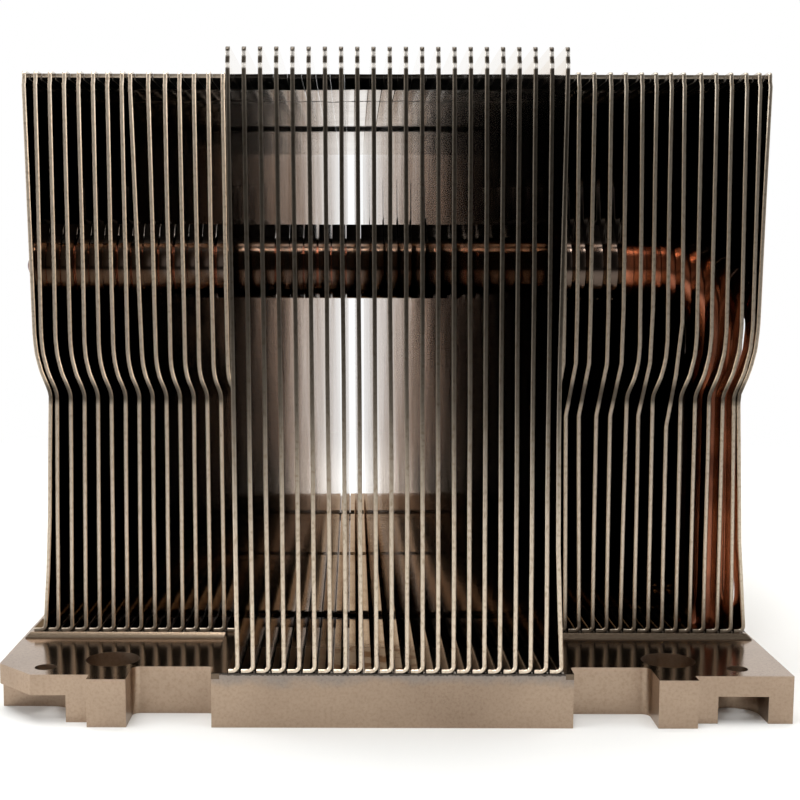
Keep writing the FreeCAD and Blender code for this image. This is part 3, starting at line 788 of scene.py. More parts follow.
    def material(self) -> bpy.types.Material:
        """Makes the material.

        Returns:
            A metal with a fine grain, slow changes of colour and a ragged flux stain below the fins.
        """
        material, tree = blank_material(self.name)
        place = add_node(tree, "ShaderNodeTexCoord").outputs["Object"]
        normal = add_node(tree, "ShaderNodeNewGeometry").outputs["Normal"]
        facing = add_node(tree, "ShaderNodeSeparateXYZ", inputs={0: normal}).outputs["Z"]
        roughness = add_node(
            tree, "ShaderNodeMapRange",
            inputs={0: facing, 1: 0.5, 2: 0.9, 3: self.side_roughness, 4: self.top_roughness},
        ).outputs[0]
        grain = add_node(tree, "ShaderNodeTexNoise", inputs=lumps(place, self.grain_size_mm, 2.0)).outputs[0]
        bump = add_node(
            tree, "ShaderNodeBump",
            inputs={"Height": grain, "Distance": self.grain_depth_mm * MM, "Strength": 0.5},
        ).outputs[0]
        shader = add_node(
            tree, "ShaderNodeBsdfPrincipled",
            inputs={"Base Color": self._colour(tree, place, facing), "Metallic": 1.0, "Roughness": roughness,
                    "Normal": bump},
        )
        add_node(tree, "ShaderNodeOutputMaterial", inputs={0: shader.outputs[0]})
        return material


@dataclass(frozen=True)
class CopperTube:
    """Drawn copper tube, heat-tinted by soldering: orange metal with darker, redder patches.

    The eye sees soft orange reflections on its flanks and a dull, dark crest, whose dark is painted shade.

    Attributes:
        copper: The bare metal.
        tint: Its heat tint.
        soot_and_shade: Painted shade on the crest.
        crest: How far up a face looks where the painted shade starts and where it is full.
        crest_share: How dense it is there.
        roughness: Roughness of the drawn surface.
        tint_size_mm: Size of the tinted patches.
    """

    name: str = "heat_tinted_copper_tube"
    copper: str = "#a86a50"
    tint: str = "#5f3527"
    soot_and_shade: str = "#20130e"
    roughness: float = 0.27
    tint_size_mm: float = 5.0
    crest: tuple[float, float] = (0.6, 0.75)
    crest_share: float = 0.85

    def material(self) -> bpy.types.Material:
        """Makes the material.

        Returns:
            A smooth copper with slow patches of heat tint.
        """
        material, tree = blank_material(self.name)
        place = add_node(tree, "ShaderNodeTexCoord").outputs["Object"]
        tint = add_node(
            tree, "ShaderNodeTexNoise", inputs={0: place, "Scale": 1 / (self.tint_size_mm * MM), "Detail": 4.0}
        ).outputs[0]
        metal = add_node(
            tree, "ShaderNodeValToRGB",
            {"stops": [(0.4, linear(self.copper)), (0.7, linear(self.tint))]}, {0: tint},
        ).outputs[0]
        # painted shade: faces that look up turn dark towards the crest
        normal = add_node(tree, "ShaderNodeNewGeometry").outputs["Normal"]
        upward = add_node(tree, "ShaderNodeSeparateXYZ", inputs={0: normal}).outputs["Z"]
        start, full = self.crest
        crest = add_node(
            tree, "ShaderNodeMapRange", inputs={0: upward, 1: start, 2: full, 4: self.crest_share}
        ).outputs[0]
        colour = layered(tree, metal, (crest, linear(self.soot_and_shade)))
        shader = add_node(
            tree, "ShaderNodeBsdfPrincipled",
            inputs={"Base Color": colour, "Metallic": 1.0, "Roughness": self.roughness},
        )
        add_node(tree, "ShaderNodeOutputMaterial", inputs={0: shader.outputs[0]})
        return material


@dataclass(frozen=True)
class Solder:
    """Tin solder with burnt flux on it: the eye sees dull grey lumps with dark skins.

    Attributes:
        tin: The bare solder.
        burnt: Flux burnt onto it.
        metallic: Below 1, because flux dulls it.
        roughness: Roughness of its skin.
        skin_size_mm: Size of the burnt patches.
    """

    name: str = "flux_stained_tin_solder"
    tin: str = "#8d857b"
    burnt: str = "#3a3029"
    metallic: float = 0.8
    roughness: float = 0.42
    skin_size_mm: float = 1.3

    def material(self) -> bpy.types.Material:
        """Makes the material.

        Returns:
            A dull metal that changes between tin and burnt flux.
        """
        material, tree = blank_material(self.name)
        place = add_node(tree, "ShaderNodeTexCoord").outputs["Object"]
        noise = add_node(tree, "ShaderNodeTexNoise", inputs=lumps(place, self.skin_size_mm)).outputs[0]
        colour = add_node(
            tree, "ShaderNodeValToRGB",
            {"stops": [(0.42, linear(self.burnt)), (0.6, linear(self.tin))]}, {0: noise},
        ).outputs[0]
        shader = add_node(
            tree, "ShaderNodeBsdfPrincipled",
            inputs={"Base Color": colour, "Metallic": self.metallic, "Roughness": self.roughness},
        )
        add_node(tree, "ShaderNodeOutputMaterial", inputs={0: shader.outputs[0]})
        return material


@dataclass(frozen=True)
class PaleFloor:
    """Matt white table that takes the shadow near the object and fades to plain white.

    Attributes:
        white: The table top.
        near_mm: It is matt up to this distance from the middle.
        far_mm: It is plain white from this distance on.
        front_lit_mm: Mirrored in the object, it starts to darken this far in front.
        front_dark_mm: It is darkest there from this far on.
        front_dim: How much of its light is gone there.
    """

    name: str = "matt_white_table"
    white: str = "#f4f4f2"
    near_mm: float = 90.0
    far_mm: float = 200.0
    front_lit_mm: float = 150.0
    front_dark_mm: float = 280.0
    front_dim: float = 0.94

    def material(self) -> bpy.types.Material:
        """Makes the material.

        Returns:
            A diffuse white that gives way to plain white for camera, glossy and transmission rays.
        """
        material, tree = blank_material(self.name)
        place = add_node(tree, "ShaderNodeTexCoord").outputs["Object"]
        distance = add_node(tree, "ShaderNodeVectorMath", {"operation": "LENGTH"}, {0: place}).outputs[1]
        fade = add_node(
            tree, "ShaderNodeMapRange", {"interpolation_type": "SMOOTHSTEP"},
            {0: distance, 1: self.near_mm * MM, 2: self.far_mm * MM},
        ).outputs[0]
        rays = add_node(tree, "ShaderNodeLightPath").outputs
        seen = rays["Is Camera Ray"]
        for kind in ("Is Glossy Ray", "Is Transmission Ray"):
            seen = add_node(tree, "ShaderNodeMath", {"operation": "MAXIMUM"}, {0: seen, 1: rays[kind]}).outputs[0]
        depth = add_node(tree, "ShaderNodeSeparateXYZ", inputs={0: place}).outputs["Y"]
        unlit = add_node(
            tree, "ShaderNodeMapRange", {"interpolation_type": "SMOOTHSTEP"},
            {0: depth, 1: -self.front_dark_mm * MM, 2: -self.front_lit_mm * MM, 3: self.front_dim, 4: 0.0},
        ).outputs[0]
        dimmed = where_all(tree, unlit, rays["Is Glossy Ray"])
        level = add_node(tree, "ShaderNodeMath", {"operation": "SUBTRACT"}, {0: 1.0, 1: dimmed}).outputs[0]
        matt = add_node(tree, "ShaderNodeBsdfDiffuse", inputs={"Color": linear(self.white)}).outputs[0]
        pale_light = add_node(tree, "ShaderNodeEmission", inputs={"Color": WHITE, "Strength": level}).outputs[0]
        share = where_all(tree, fade, seen)
        mixed = add_node(tree, "ShaderNodeMixShader", inputs={0: share, 1: matt, 2: pale_light}).outputs[0]
        add_node(tree, "ShaderNodeOutputMaterial", inputs={0: mixed})
        return material


# ---------------------------------------------------------------------------- fins
FAR = 0.2  # a place well beside the object
FOLD_POINTS = 25  # points on each fold of a fin's section
WEB_POINTS = 400  # points on its web
WEB = slice(FOLD_POINTS, FOLD_POINTS + WEB_POINTS)  # the web's part of the section


class Side(Enum):
    """Where a fin stands on the base."""

    LEFT = "left"
    CENTRE = "centre"
    RIGHT = "right"


@dataclass(frozen=True)
class Opening:
    """A hole in a web for a heat pipe.

    Attributes:
        y: Place of the pipe along the fin.
        low: Height of the hole's lower end.
        high: Height of its upper end.
    """

    y: float
    low: float
    high: float


@dataclass
class Fin:
    """One folded fin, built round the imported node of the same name.

    Attributes:
        node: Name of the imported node.
        number: Number of the fin from the left, for its own ripples.
        sheet: Sheet thickness.
        fold: Radius of the foot's fold on the centre line.
        crown_fold: Radius of the flange's tight fold.
        flange_front: Where the top flange starts along Y.
        tip: Radius of the web's upper front corner.
        tip_step: How far the crown's front end is set back.
        tip_slope: Depths below the top between which the end slopes back to the step.
        tip_fade: Length over which that shift fades out.
        collar: Distance from the web's middle to the ends of the collars round the pipe holes.
        collar_wall: Their wall.
        collar_fold: Radius of the fold from web to collar.
        channel: Radius of the solder channel over each round hole.
        hole_gap: Play between a collar and the pipe.
        slot_gap: Play between a slot and the pipe.
        hole_margin: Web round a hole that its ring of faces takes up.
        windows: Place and length of the windows in the foot.
        ripple: How far the web wanders off its line.
        waves: Strength, turns up the web and length along it of each wave it wanders by, and
            how much the fin's own phase shifts it each way.
        rim: Size of the broken edge at the sheared ends.
        lip: Sheet left below a slot that comes near the foot.
        probes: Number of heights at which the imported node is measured.
        probe_y: How far behind the front end.
        probe_ends: How far above the foot's fold and below the top the measuring stops.
        smoothing: Width of the window that smooths the measured line.
        shoulder_z: The web's line is smoothed above this height.
        knee: Lowest and highest place of the knee.
        knee_lines: Lines of the grid across the knee.
        knee_step: Webs that step aside by more than this have a knee.
        widest: Widest gap between the grid's lines up the sheet, along it and round a hole.
        crown_rows: Heights of the free crown's rows, as shares of its own height.
        search: Where holes are looked for: from this far above the foot to this far below the
            top, in steps of the third value.
        slits: Middle and swing, in millimetres, of the gap between the collars and the next fin.
        mark_gap: How far inside the mouth a point still counts as the web's.
        mark_reach: How far beyond the pipe a collar's points lie at most.
        last_collar_x: Fins beyond this place have plain holes, where the pipe starts to bend.
        pipe_radius: Radius of the heat pipes.
        pipe_places: Places of the heat pipes along the fin.
        low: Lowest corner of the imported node's box.
        high: Its highest corner.
        line: The section's centre line, X and Z of each point from the foot's end on.
        walk: Distance along it at each point.
        has_flange: Whether a flange lies at the top.
        point_marks: The finished sheet's marks, for its finish.
    """

    node: str
    number: int
    sheet: float = 0.4 * MM
    fold: float = 0.5 * MM
    crown_fold: float = 0.24 * MM
    flange_front: float = -36.0 * MM
    tip: float = 0.5 * MM
    tip_step: float = 0.3 * MM
    tip_slope: tuple[float, float] = (0.95 * MM, 1.5 * MM)
    tip_fade: float = 2.4 * MM
    collar: float = 0.3 * MM
    collar_wall: float = 0.3 * MM
    collar_fold: float = 0.25 * MM
    channel: float = 0.75 * MM
    hole_gap: float = 0.05 * MM
    slot_gap: float = 0.25 * MM
    hole_margin: float = 1.45 * MM
    windows: tuple[tuple[float, float], ...] = ((-32.5 * MM, 4.0 * MM), (1.7 * MM, 2.1 * MM), (34.9 * MM, 3.7 * MM))
    ripple: float = 0.03 * MM
    waves: tuple[tuple[float, ...], ...] = ((1.0, 7.0, 11 * MM, 1.0, 1.7), (0.6, 15.0, 5.5 * MM, -0.6, -1.0))
    rim: float = 0.08 * MM
    lip: float = 0.4 * MM
    probes: int = 220
    probe_y: float = 1.6 * MM
    probe_ends: tuple[float, float] = (0.15 * MM, 0.75 * MM)
    smoothing: int = 7
    shoulder_z: float = 33.0 * MM
    knee: tuple[float, float] = (29.6 * MM, 38.6 * MM)
    knee_lines: int = 19
    knee_step: float = 0.9 * MM
    widest: tuple[float, float, float] = (6.5 * MM, 9.0 * MM, 1.0 * MM)
    crown_rows: tuple[float, ...] = (0.0, 0.3, 0.5, 0.65, 0.78, 0.88, 0.95, 1.0)
    search: tuple[float, float, float] = (1.2 * MM, 3.0 * MM, 0.1 * MM)
    slits: tuple[float, float] = (0.09, 0.06)
    mark_gap: float = 0.03 * MM
    mark_reach: float = 2.3 * MM
    last_collar_x: float = 25.2 * MM
    pipe_radius: float = 3.0 * MM
    pipe_places: tuple[float, float] = (-33.0 * MM, 33.0 * MM)
    low: np.ndarray = field(init=False, repr=False)
    high: np.ndarray = field(init=False, repr=False)
    line: np.ndarray = field(init=False, repr=False)
    walk: np.ndarray = field(init=False, repr=False)
    has_flange: bool = field(init=False, repr=False)
    point_marks: dict[str, np.ndarray] = field(init=False, repr=False)

    def __post_init__(self) -> None:
        """Reads the fin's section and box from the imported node."""
        self.low, self.high = (np.array(corner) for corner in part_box(self.node))
        self.foot_z = self.low[2] + self.sheet / 2
        self.top_z = self.high[2] - self.sheet / 2
        self.run_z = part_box("heat_pipe_front")[1][2] - self.pipe_radius
        self._read_section()

    def _hit(self, start: tuple[float, float, float], way: float) -> tuple[Vector, Vector] | None:
        """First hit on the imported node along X.

        Args:
            start: Where the ray starts.
            way: 1 to look along +X, -1 along -X.

        Returns:
            The place and the face's normal, or None.
        """
        found, place, normal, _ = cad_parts[self.node].ray_cast(Vector(start), Vector((way, 0, 0)))
        return (place, normal) if found else None

    def _read_section(self) -> None:
        """Works out the centre line in the X-Z plane, from the foot's free edge to the flange's.

        The web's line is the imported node's right face moved in by half a sheet, smoothed above
        the knee; a quarter circle joins it to the foot below and to the flange above.
        """
        y = self.low[1] + self.probe_y
        web_low, web_high = self.foot_z + self.fold, self.top_z - self.crown_fold
        first, last = web_low + self.probe_ends[0], self.top_z - self.probe_ends[1]
        heights = np.linspace(first, last, self.probes)
        hits = [self._hit((FAR, y, z), -1) for z in heights]
        centres = np.array([(place - normal * self.sheet / 2).x for place, normal in hits])
        kernel = np.hanning(self.smoothing)[1:-1]
        padded = np.pad(centres, len(kernel) // 2, mode="reflect", reflect_type="odd")
        smooth = np.convolve(padded, kernel / kernel.sum(), mode="valid")
        smooth = np.where(heights < self.shoulder_z, centres, smooth)
        web_z = np.linspace(web_low, web_high, WEB_POINTS)
        web_x = np.interp(web_z, heights, smooth)
        turn = np.linspace(0, math.pi / 2, FOLD_POINTS)
        foot_end = self._hit((-FAR, y, self.foot_z), 1)[0].x
        foot_centre = web_x[0] - self.fold
        flange_end = self._hit((-FAR, 0.0, self.top_z), 1)[0].x
        flange_centre = web_x[-1] - self.crown_fold
        self.has_flange = flange_end < flange_centre
        foot_fold = [foot_centre + self.fold * np.sin(turn), self.foot_z + self.fold * (1 - np.cos(turn))]
        crown_fold = [flange_centre + self.crown_fold * np.cos(turn), web_high + self.crown_fold * np.sin(turn)]
        self.line = np.concatenate([
            np.array([[foot_end, self.foot_z]]),
            np.stack(foot_fold, 1),
            np.stack([web_x, web_z], 1)[1:-1],
            np.stack(crown_fold, 1),
            np.array([[min(flange_end, flange_centre - WELD * 10), self.top_z]]),
        ])
        self._measure()
        self.web_heights = (self.line[WEB, 1], self.walk[WEB])
        self.web_walk = (self.walk[WEB][0], self.walk[WEB][-1])

    def _measure(self) -> None:
        """Works out the walk: the distance along the section at each of its points."""
        steps = np.hypot(*np.diff(self.line, axis=0).T)
        self.walk = np.concatenate([[0.0], np.cumsum(steps)])

    def web_x(self, height: float) -> float:
        """Place of the web's middle across the fins at a height."""
        return float(np.interp(height, self.line[WEB, 1], self.line[WEB, 0]))

    def slit(self) -> float:
        """Gap left between the collars' ends and the next fin, a little different on each."""
        return (self.slits[0] + self.slits[1] * math.sin(self.number * 1.9)) * MM

    def mouth(self) -> float:
        """Radius of a round hole where its collar's fold starts."""
        return self.pipe_radius + self.hole_gap + self.collar_wall / 2 + self.collar_fold

    def throat(self) -> float:
        """Radius of the solder channel there."""
        return self.channel + self.collar_wall / 2 + self.collar_fold

    def meet(self, neighbour: "Fin") -> None:
        """Ends the collars and the flange at the next fin.

        Args:
            neighbour: The fin to the left.
        """
        self.collar = self.web_x(self.run_z) - neighbour.web_x(self.run_z) - self.sheet / 2 - self.slit()
        if self.has_flange:
            self.line[-1, 0] = neighbour.web_x(self.top_z) + self.sheet / 2 + 0.01 * MM
            self._measure()

    def walk_at(self, height: float) -> float:
        """Distance along the section at a height of the web."""
        return float(np.interp(height, *self.web_heights))

    def lift(self, walk: np.ndarray, y: np.ndarray) -> tuple[np.ndarray, np.ndarray]:
        """Puts places given by walk along the section and Y onto the bent sheet.

        The web wanders by a sum of two slow waves that die out at the foot and the crown.

        Args:
            walk: Distances along the section.
            y: Places along the fin.

        Returns:
            Points and unit normals, towards -X on the web.
        """
        x = np.interp(walk, self.walk, self.line[:, 0])
        z = np.interp(walk, self.walk, self.line[:, 1])
        step = 0.15 * MM
        ahead = np.minimum(walk + step, self.walk[-1])
        behind = np.maximum(walk - step, 0.0)
        dx = np.interp(ahead, self.walk, self.line[:, 0]) - np.interp(behind, self.walk, self.line[:, 0])
        dz = np.interp(ahead, self.walk, self.line[:, 1]) - np.interp(behind, self.walk, self.line[:, 1])
        size = np.maximum(np.hypot(dx, dz), WELD)
        normals = np.stack([-dz / size, np.zeros_like(x), dx / size], axis=-1)
        part = np.clip((walk - self.web_walk[0]) / (self.web_walk[1] - self.web_walk[0]), 0, 1)
        phase = self.number * 2.399
        wave = np.zeros_like(x)
        for strength, turns, length, up_shift, along_shift in self.waves:
            rising = np.sin(turns * part + phase * up_shift)
            wave += strength * rising * np.cos(y / length + phase * along_shift)
        fade = np.sin(math.pi * part) ** 0.5
        shifted = x + self.ripple * wave * fade
        return np.stack([shifted, y, z], axis=-1), normals

    def openings(self) -> list[Opening]:
        """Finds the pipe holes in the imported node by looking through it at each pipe's place.

        Returns:
            One opening per hole, with the heights of its ends.
        """
        above_foot, below_top, step = self.search
        heights = np.arange(self.foot_z + above_foot, self.top_z - below_top, step)
        found = []
        for y in self.pipe_places:
            clear = np.array([self._hit((FAR, y, z), -1) is None for z in heights])
            edges = np.flatnonzero(np.diff(np.concatenate([[False], clear, [False]]).astype(int)))
            found += [Opening(y, heights[a], heights[b - 1]) for a, b in edges.reshape(-1, 2)]
        return found

    def skin(self) -> Skin:
        """Builds the whole sheet.

        The sheet is a grid over walk and Y. Cells in the foot's windows, under the free crown
        and round each pipe hole are left out; a ring of faces then runs from each hole's
        rectangle to its outline, and a collar folds out of each round hole.

        Returns:
            A closed surface.
        """
        holes = self.openings()
        boxes = [self._box(hole) for hole in holes]
        walk_lines, y_lines = self._grid_lines(boxes)
        walk, y = np.meshgrid(walk_lines, y_lines, indexing="ij")
        middle_walk = (walk[:-1, :-1] + walk[1:, 1:]) / 2
        middle_y = (y[:-1, :-1] + y[1:, 1:]) / 2
        web_high = self.web_walk[1]
        keep = ~((middle_walk > web_high) & (middle_y < self.flange_front))
        for place, length in self.windows:
            keep &= ~((middle_walk < self.walk[1]) & (np.abs(middle_y - place) < length / 2))
        for box in boxes:
            keep &= ~self._inside(middle_walk, middle_y, box)
        points, normals = self.lift(walk, y)
        free = y_lines[y_lines <= self.flange_front + WELD] if self.has_flange else y_lines
        skins = [Skin.of_grid(points, normals, keep), self._free_crown(web_high, free)]
        for hole, box in zip(holes, boxes):
            skins += self._ring(hole, box, walk_lines, y_lines)
        whole = Skin.welded(skins)
        half = np.full(len(whole.points), self.sheet / 2)
        edge = np.minimum(whole.points[:, 1] - self.low[1], self.high[1] - whole.points[:, 1])
        half[edge < self.rim / 2] -= self.rim
        solid = whole.thickened(half)
        solid.points[:, 2] = np.minimum(solid.points[:, 2], self.high[2])
        self.point_marks = self.marks(solid.points)
        solid.points = self._shaped_tip(solid.points)
        return solid

    def _grid_lines(self, boxes: list[tuple]) -> tuple[np.ndarray, np.ndarray]:
        """Lines of the sheet's grid, through every edge, fold, window and hole, and the knee.

        Args:
            boxes: The rectangles round the holes.

        Returns:
            The lines' places up the sheet, as walks, and along it.
        """
        front, rear, rim = self.low[1], self.high[1], self.rim
        web_low, web_high = self.web_walk
        walks = [0.0, rim, web_high, *np.linspace(self.walk[1], web_low, 6)]
        walks += [self.walk_at(self.high[2] - depth) for depth in self.tip_slope]
        walks += [value for box in boxes for value in box[:2]]
        if self.has_flange:
            walks += [self.walk[-1] - rim, self.walk[-1], *np.linspace(web_high, self.walk[-2], 6)]
        web = self.line[WEB, 0]
        if abs(web[5] - web[-25]) > self.knee_step:  # near its foot and near its crown
            walks += [self.walk_at(z) for z in np.linspace(*self.knee, self.knee_lines)]
        ys = [front, front + rim, front + 2 * rim, front + self.tip_fade, rear - 2 * rim, rear - rim, rear]
        ys += [self.flange_front, self.flange_front + rim]
        ys += [value for box in boxes for value in box[2:]]
        ys += [y + side * length / 2 for y, length in self.windows for side in (-1, 1)]
        walk_lines = self._with_cells(spread(walks, self.widest[0]), boxes, 0)
        y_lines = self._with_cells(spread(ys, self.widest[1]), boxes, 2)
        return walk_lines, y_lines

    def marks(self, points: np.ndarray) -> dict[str, np.ndarray]:
        """Tells the finish which points lie on sheared ends and which on collars.

        Args:
            points: The finished sheet's points.

        Returns:
            For each mark, 1 on the points that have it and 0 elsewhere.
        """
        x, y, z = points.T
        near = self.rim + 0.01 * MM
        ends = (y - self.low[1] < near) | (self.high[1] - y < near)
        flange = (np.abs(y - self.flange_front) < 0.01 * MM) & (z > self.high[2] - self.sheet - near)
        nearest = np.min([np.abs(y - place) for place in self.pipe_places], axis=0)
        from_axis = np.hypot(nearest, z - self.run_z)
        from_channel = np.hypot(nearest, z - self.run_z - self.mouth())
        inside = (from_axis < self.mouth() - self.mark_gap) | (from_channel < self.throat() - self.mark_gap)
        beside = x < self.web_x(self.run_z) - self.sheet / 2 - 0.02 * MM
        drawn = inside | (beside & (from_axis < self.pipe_radius + self.mark_reach))
        drawn &= self.web_x(self.run_z) < self.last_collar_x
        return {
            "cut_end": (ends | (flange & self.has_flange)).astype(float),
            "collar": drawn.astype(float),
        }

    def _box(self, hole: Opening) -> tuple[float, float, float, float]:
        """Rectangle that a hole and its ring take out of the grid.

        Args:
            hole: The hole.

        Returns:
            Walk from and to, Y from and to.
        """
        channel = self.channel if self._is_round(hole) else 0.0
        low = max(self.walk_at(hole.low - self.hole_margin), self.web_walk[0] + 0.2 * MM)
        high = self.walk_at(hole.high + self.hole_margin + channel)
        reach = self.pipe_radius + self.hole_margin + self.slot_gap
        return low, high, hole.y - reach, hole.y + reach

    def _is_round(self, hole: Opening) -> bool:
        """True for a round hole on the pipe's straight run, False for a slot."""
        level = abs((hole.low + hole.high) / 2 - self.run_z) < 0.2 * MM
        return level and self.web_x(self.run_z) < self.last_collar_x

    def _with_cells(self, lines: np.ndarray, boxes: list[tuple], first: int) -> np.ndarray:
        """Adds even lines inside each hole's rectangle.

        Args:
            lines: The lines so far.
            boxes: The rectangles.
            first: 0 for lines along walk, 2 for lines along Y.

        Returns:
            All lines in rising order.
        """
        extra = []
        for box in boxes:
            low, high = box[first : first + 2]
            inside = lines[(lines >= low - WELD) & (lines <= high + WELD)]
            extra.append(spread(inside.tolist(), self.widest[2]))
        everything = np.concatenate([lines] + extra)
        keys = np.unique(np.round(everything / WELD))
        apart = np.concatenate([[True], np.diff(keys) > 10])
        return keys[apart] * WELD

    @staticmethod
    def _inside(walk: np.ndarray, y: np.ndarray, box: tuple) -> np.ndarray:
        """True where places lie inside a rectangle of the grid."""
        return (walk > box[0]) & (walk < box[1]) & (y > box[2]) & (y < box[3])

    def _free_crown(self, web_high: float, y_lines: np.ndarray) -> Skin:
        """The web's straight end above the fold's start, where there is no flange.

        Args:
            web_high: Walk at the top of the web's grid.
            y_lines: Places along Y.

        Returns:
            The strip, going straight on along the web.
        """
        rise = self.high[2] - self.line[WEB, 1][-1]
        ups = np.array(self.crown_rows) * rise
        up, y = np.meshgrid(ups, y_lines, indexing="ij")
        start, normals = self.lift(np.full_like(y, web_high), y)
        below, _ = self.lift(np.full_like(y, web_high - 2 * MM), y)
        slope = (start[..., 0] - below[..., 0]) / (start[..., 2] - below[..., 2])
        points = start + np.stack([up * slope, np.zeros_like(up), up], axis=-1)
        return Skin.of_grid(points, normals)

    def _ring(self, hole: Opening, box: tuple, walk_lines: np.ndarray, y_lines: np.ndarray) -> list[Skin]:
        """Faces from a hole's rectangle to its outline, and the collar of a round hole.

        Each point of the rectangle's rim is drawn towards the hole's spine; the outline is the
        spine grown by the radius, and over a round hole also the circle of the solder channel.

        Args:
            hole: The hole.
            box: Its rectangle.
            walk_lines: The grid's lines along walk.
            y_lines: The grid's lines along Y.

        Returns:
            The ring and, for a round hole, the collar.
        """
        walks = walk_lines[(walk_lines > box[0] - WELD * 5) & (walk_lines < box[1] + WELD * 5)]
        ys = y_lines[(y_lines > box[2] - WELD * 5) & (y_lines < box[3] + WELD * 5)]
        rim_walk = np.concatenate([
            np.full(len(ys) - 1, walks[0]), walks[:-1], np.full(len(ys) - 1, walks[-1]), walks[:0:-1]
        ])
        rim_y = np.concatenate([
            ys[:-1], np.full(len(walks) - 1, ys[-1]), ys[:0:-1], np.full(len(walks) - 1, ys[0])
        ])
        rim_walk, rim_y = np.append(rim_walk, rim_walk[0]), np.append(rim_y, rim_y[0])
        is_round = self._is_round(hole)
        radius = self.mouth() if is_round else self.pipe_radius + self.slot_gap
        foot, head = max(self.walk_at(hole.low), box[0] + self.lip), self.walk_at(hole.high)
        spine_low, spine_high = foot + radius, head - radius
        if is_round:
            spine_low = spine_high = self.walk_at((hole.low + hole.high) / 2)
        elif spine_low > spine_high:
            spine_low = spine_high = (foot + head) / 2
        squeeze = min((head - spine_high) / radius, 1.0)
        spine = np.clip(rim_walk, spine_low, spine_high)
        out_walk, out_y = rim_walk - spine, rim_y - hole.y
        size = np.hypot(out_walk, out_y)
        out_walk, out_y = out_walk / size, out_y / size
        reach = radius / np.hypot(out_walk / squeeze, out_y)
        if is_round:
            under = np.clip(self.throat() ** 2 - (radius * out_y) ** 2, 0, None)
            notch = radius * out_walk + np.sqrt(under)
            reach = np.where((under > 0) & (out_walk > 0), np.maximum(radius, notch), radius)
        edge_walk, edge_y = spine + reach * out_walk, hole.y + reach * out_y
        share = np.array([0.0, 0.4, 0.8, 1.0])[:, None]
        walk = rim_walk + (edge_walk - rim_walk) * share
        y = rim_y + (edge_y - rim_y) * share
        points, normals = self.lift(walk, y)
        skins = [Skin.of_grid(points, normals)]
        if is_round:
            skins.append(self._collar(points[-1], normals[-1], out_walk, out_y))
        return skins

    def _collar(self, edge: np.ndarray, normal: np.ndarray, out_walk: np.ndarray, out_y: np.ndarray) -> Skin:
        """The collar that folds out of a round hole towards -X.

        A quarter circle of the fold's radius turns the sheet from the web to the hole's axis,
        and the collar goes straight on from there.

        Args:
            edge: Points of the hole's outline on the web.
            normal: Normals there.
            out_walk: Part of the outward direction that lies up the web.
            out_y: Part of it that lies along Y.

        Returns:
            The collar.
        """
        up = np.stack([-normal[:, 2], np.zeros(len(normal)), normal[:, 0]], axis=-1)
        up *= np.sign(up[:, 2:3])
        outward = up * out_walk[:, None] + np.array([0.0, 1.0, 0.0]) * out_y[:, None]
        turns = np.radians([0.0, 30.0, 60.0, 90.0, 90.0])[:, None, None]
        straight = np.array([0.0, 0.0, 0.0, 0.0, self.collar - self.collar_fold])[:, None, None]
        points = (
            edge
            - outward * self.collar_fold * np.sin(turns)
            + normal * (self.collar_fold * (1 - np.cos(turns)) + straight)
        )
        normals = normal * np.cos(turns) + outward * np.sin(turns)
        return Skin.of_grid(points, normals)

    def _shaped_tip(self, points: np.ndarray) -> np.ndarray:
        """Sets the crown's front end back from the web's, with a round corner at the top.

        The front end is set back by the step; a slope leads from the web's end to the step, and
        a quarter circle from the step to the top. The shift fades out a little way behind.

        Args:
            points: The sheet's points.

        Returns:
            The moved points.
        """
        depth = self.high[2] - points[:, 2]
        slope_top, slope_foot = self.tip_slope
        slope = np.interp(depth, [slope_top, slope_foot], [self.tip_step, 0.0])
        corner = self.tip - np.sqrt(np.clip(self.tip**2 - (self.tip - np.minimum(depth, self.tip)) ** 2, 0, None))
        fade = np.clip(1 - (points[:, 1] - self.low[1]) / self.tip_fade, 0, 1)
        moved = points.copy()
        moved[:, 1] += (slope + corner) * fade
        return moved

    def build(self) -> bpy.types.Object:
        """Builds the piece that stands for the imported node.

        Returns:
            The piece.
        """
        skin = self.skin()
        piece = mesh_object(f"{self.node}_sheet", skin, marks=self.point_marks)
        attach(piece, "root")
        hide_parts(self.node)
        return piece


@dataclass
class FinPack:
    """All fins, from left to right.

    Attributes:
        counts: Number of fins on each side.
        fins: The built pieces.
        shapes: Their shapes, in the same order.
    """

    counts: dict[Side, int] = field(default_factory=dict)
    fins: list[bpy.types.Object] = field(default_factory=list)
    shapes: list[Fin] = field(default_factory=list)

    def build(self) -> None:
        """Builds a fin for every packed fin node."""
        names = sorted(
            (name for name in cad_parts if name.startswith("fin_")),
            key=lambda name: sum(corner[0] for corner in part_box(name)),
        )
        neighbour = None
        for number, name in enumerate(names):
            fin = Fin(name, number)
            if neighbour:
                fin.meet(neighbour)
            neighbour = fin
            self.fins.append(fin.build())
            self.shapes.append(fin)
            side = Side(name.split("_")[1])
            self.counts[side] = self.counts.get(side, 0) + 1
        for side, count in self.counts.items():
            LOG.info("fins, %s: %d", side.value, count)

    def dress(self, finish: NickelSheet) -> None:
        """Gives every fin its finish.

        Args:
            finish: The fins' finish.
        """
        material = finish.material()
        for fin in self.fins:
            fin.data.materials.append(material)


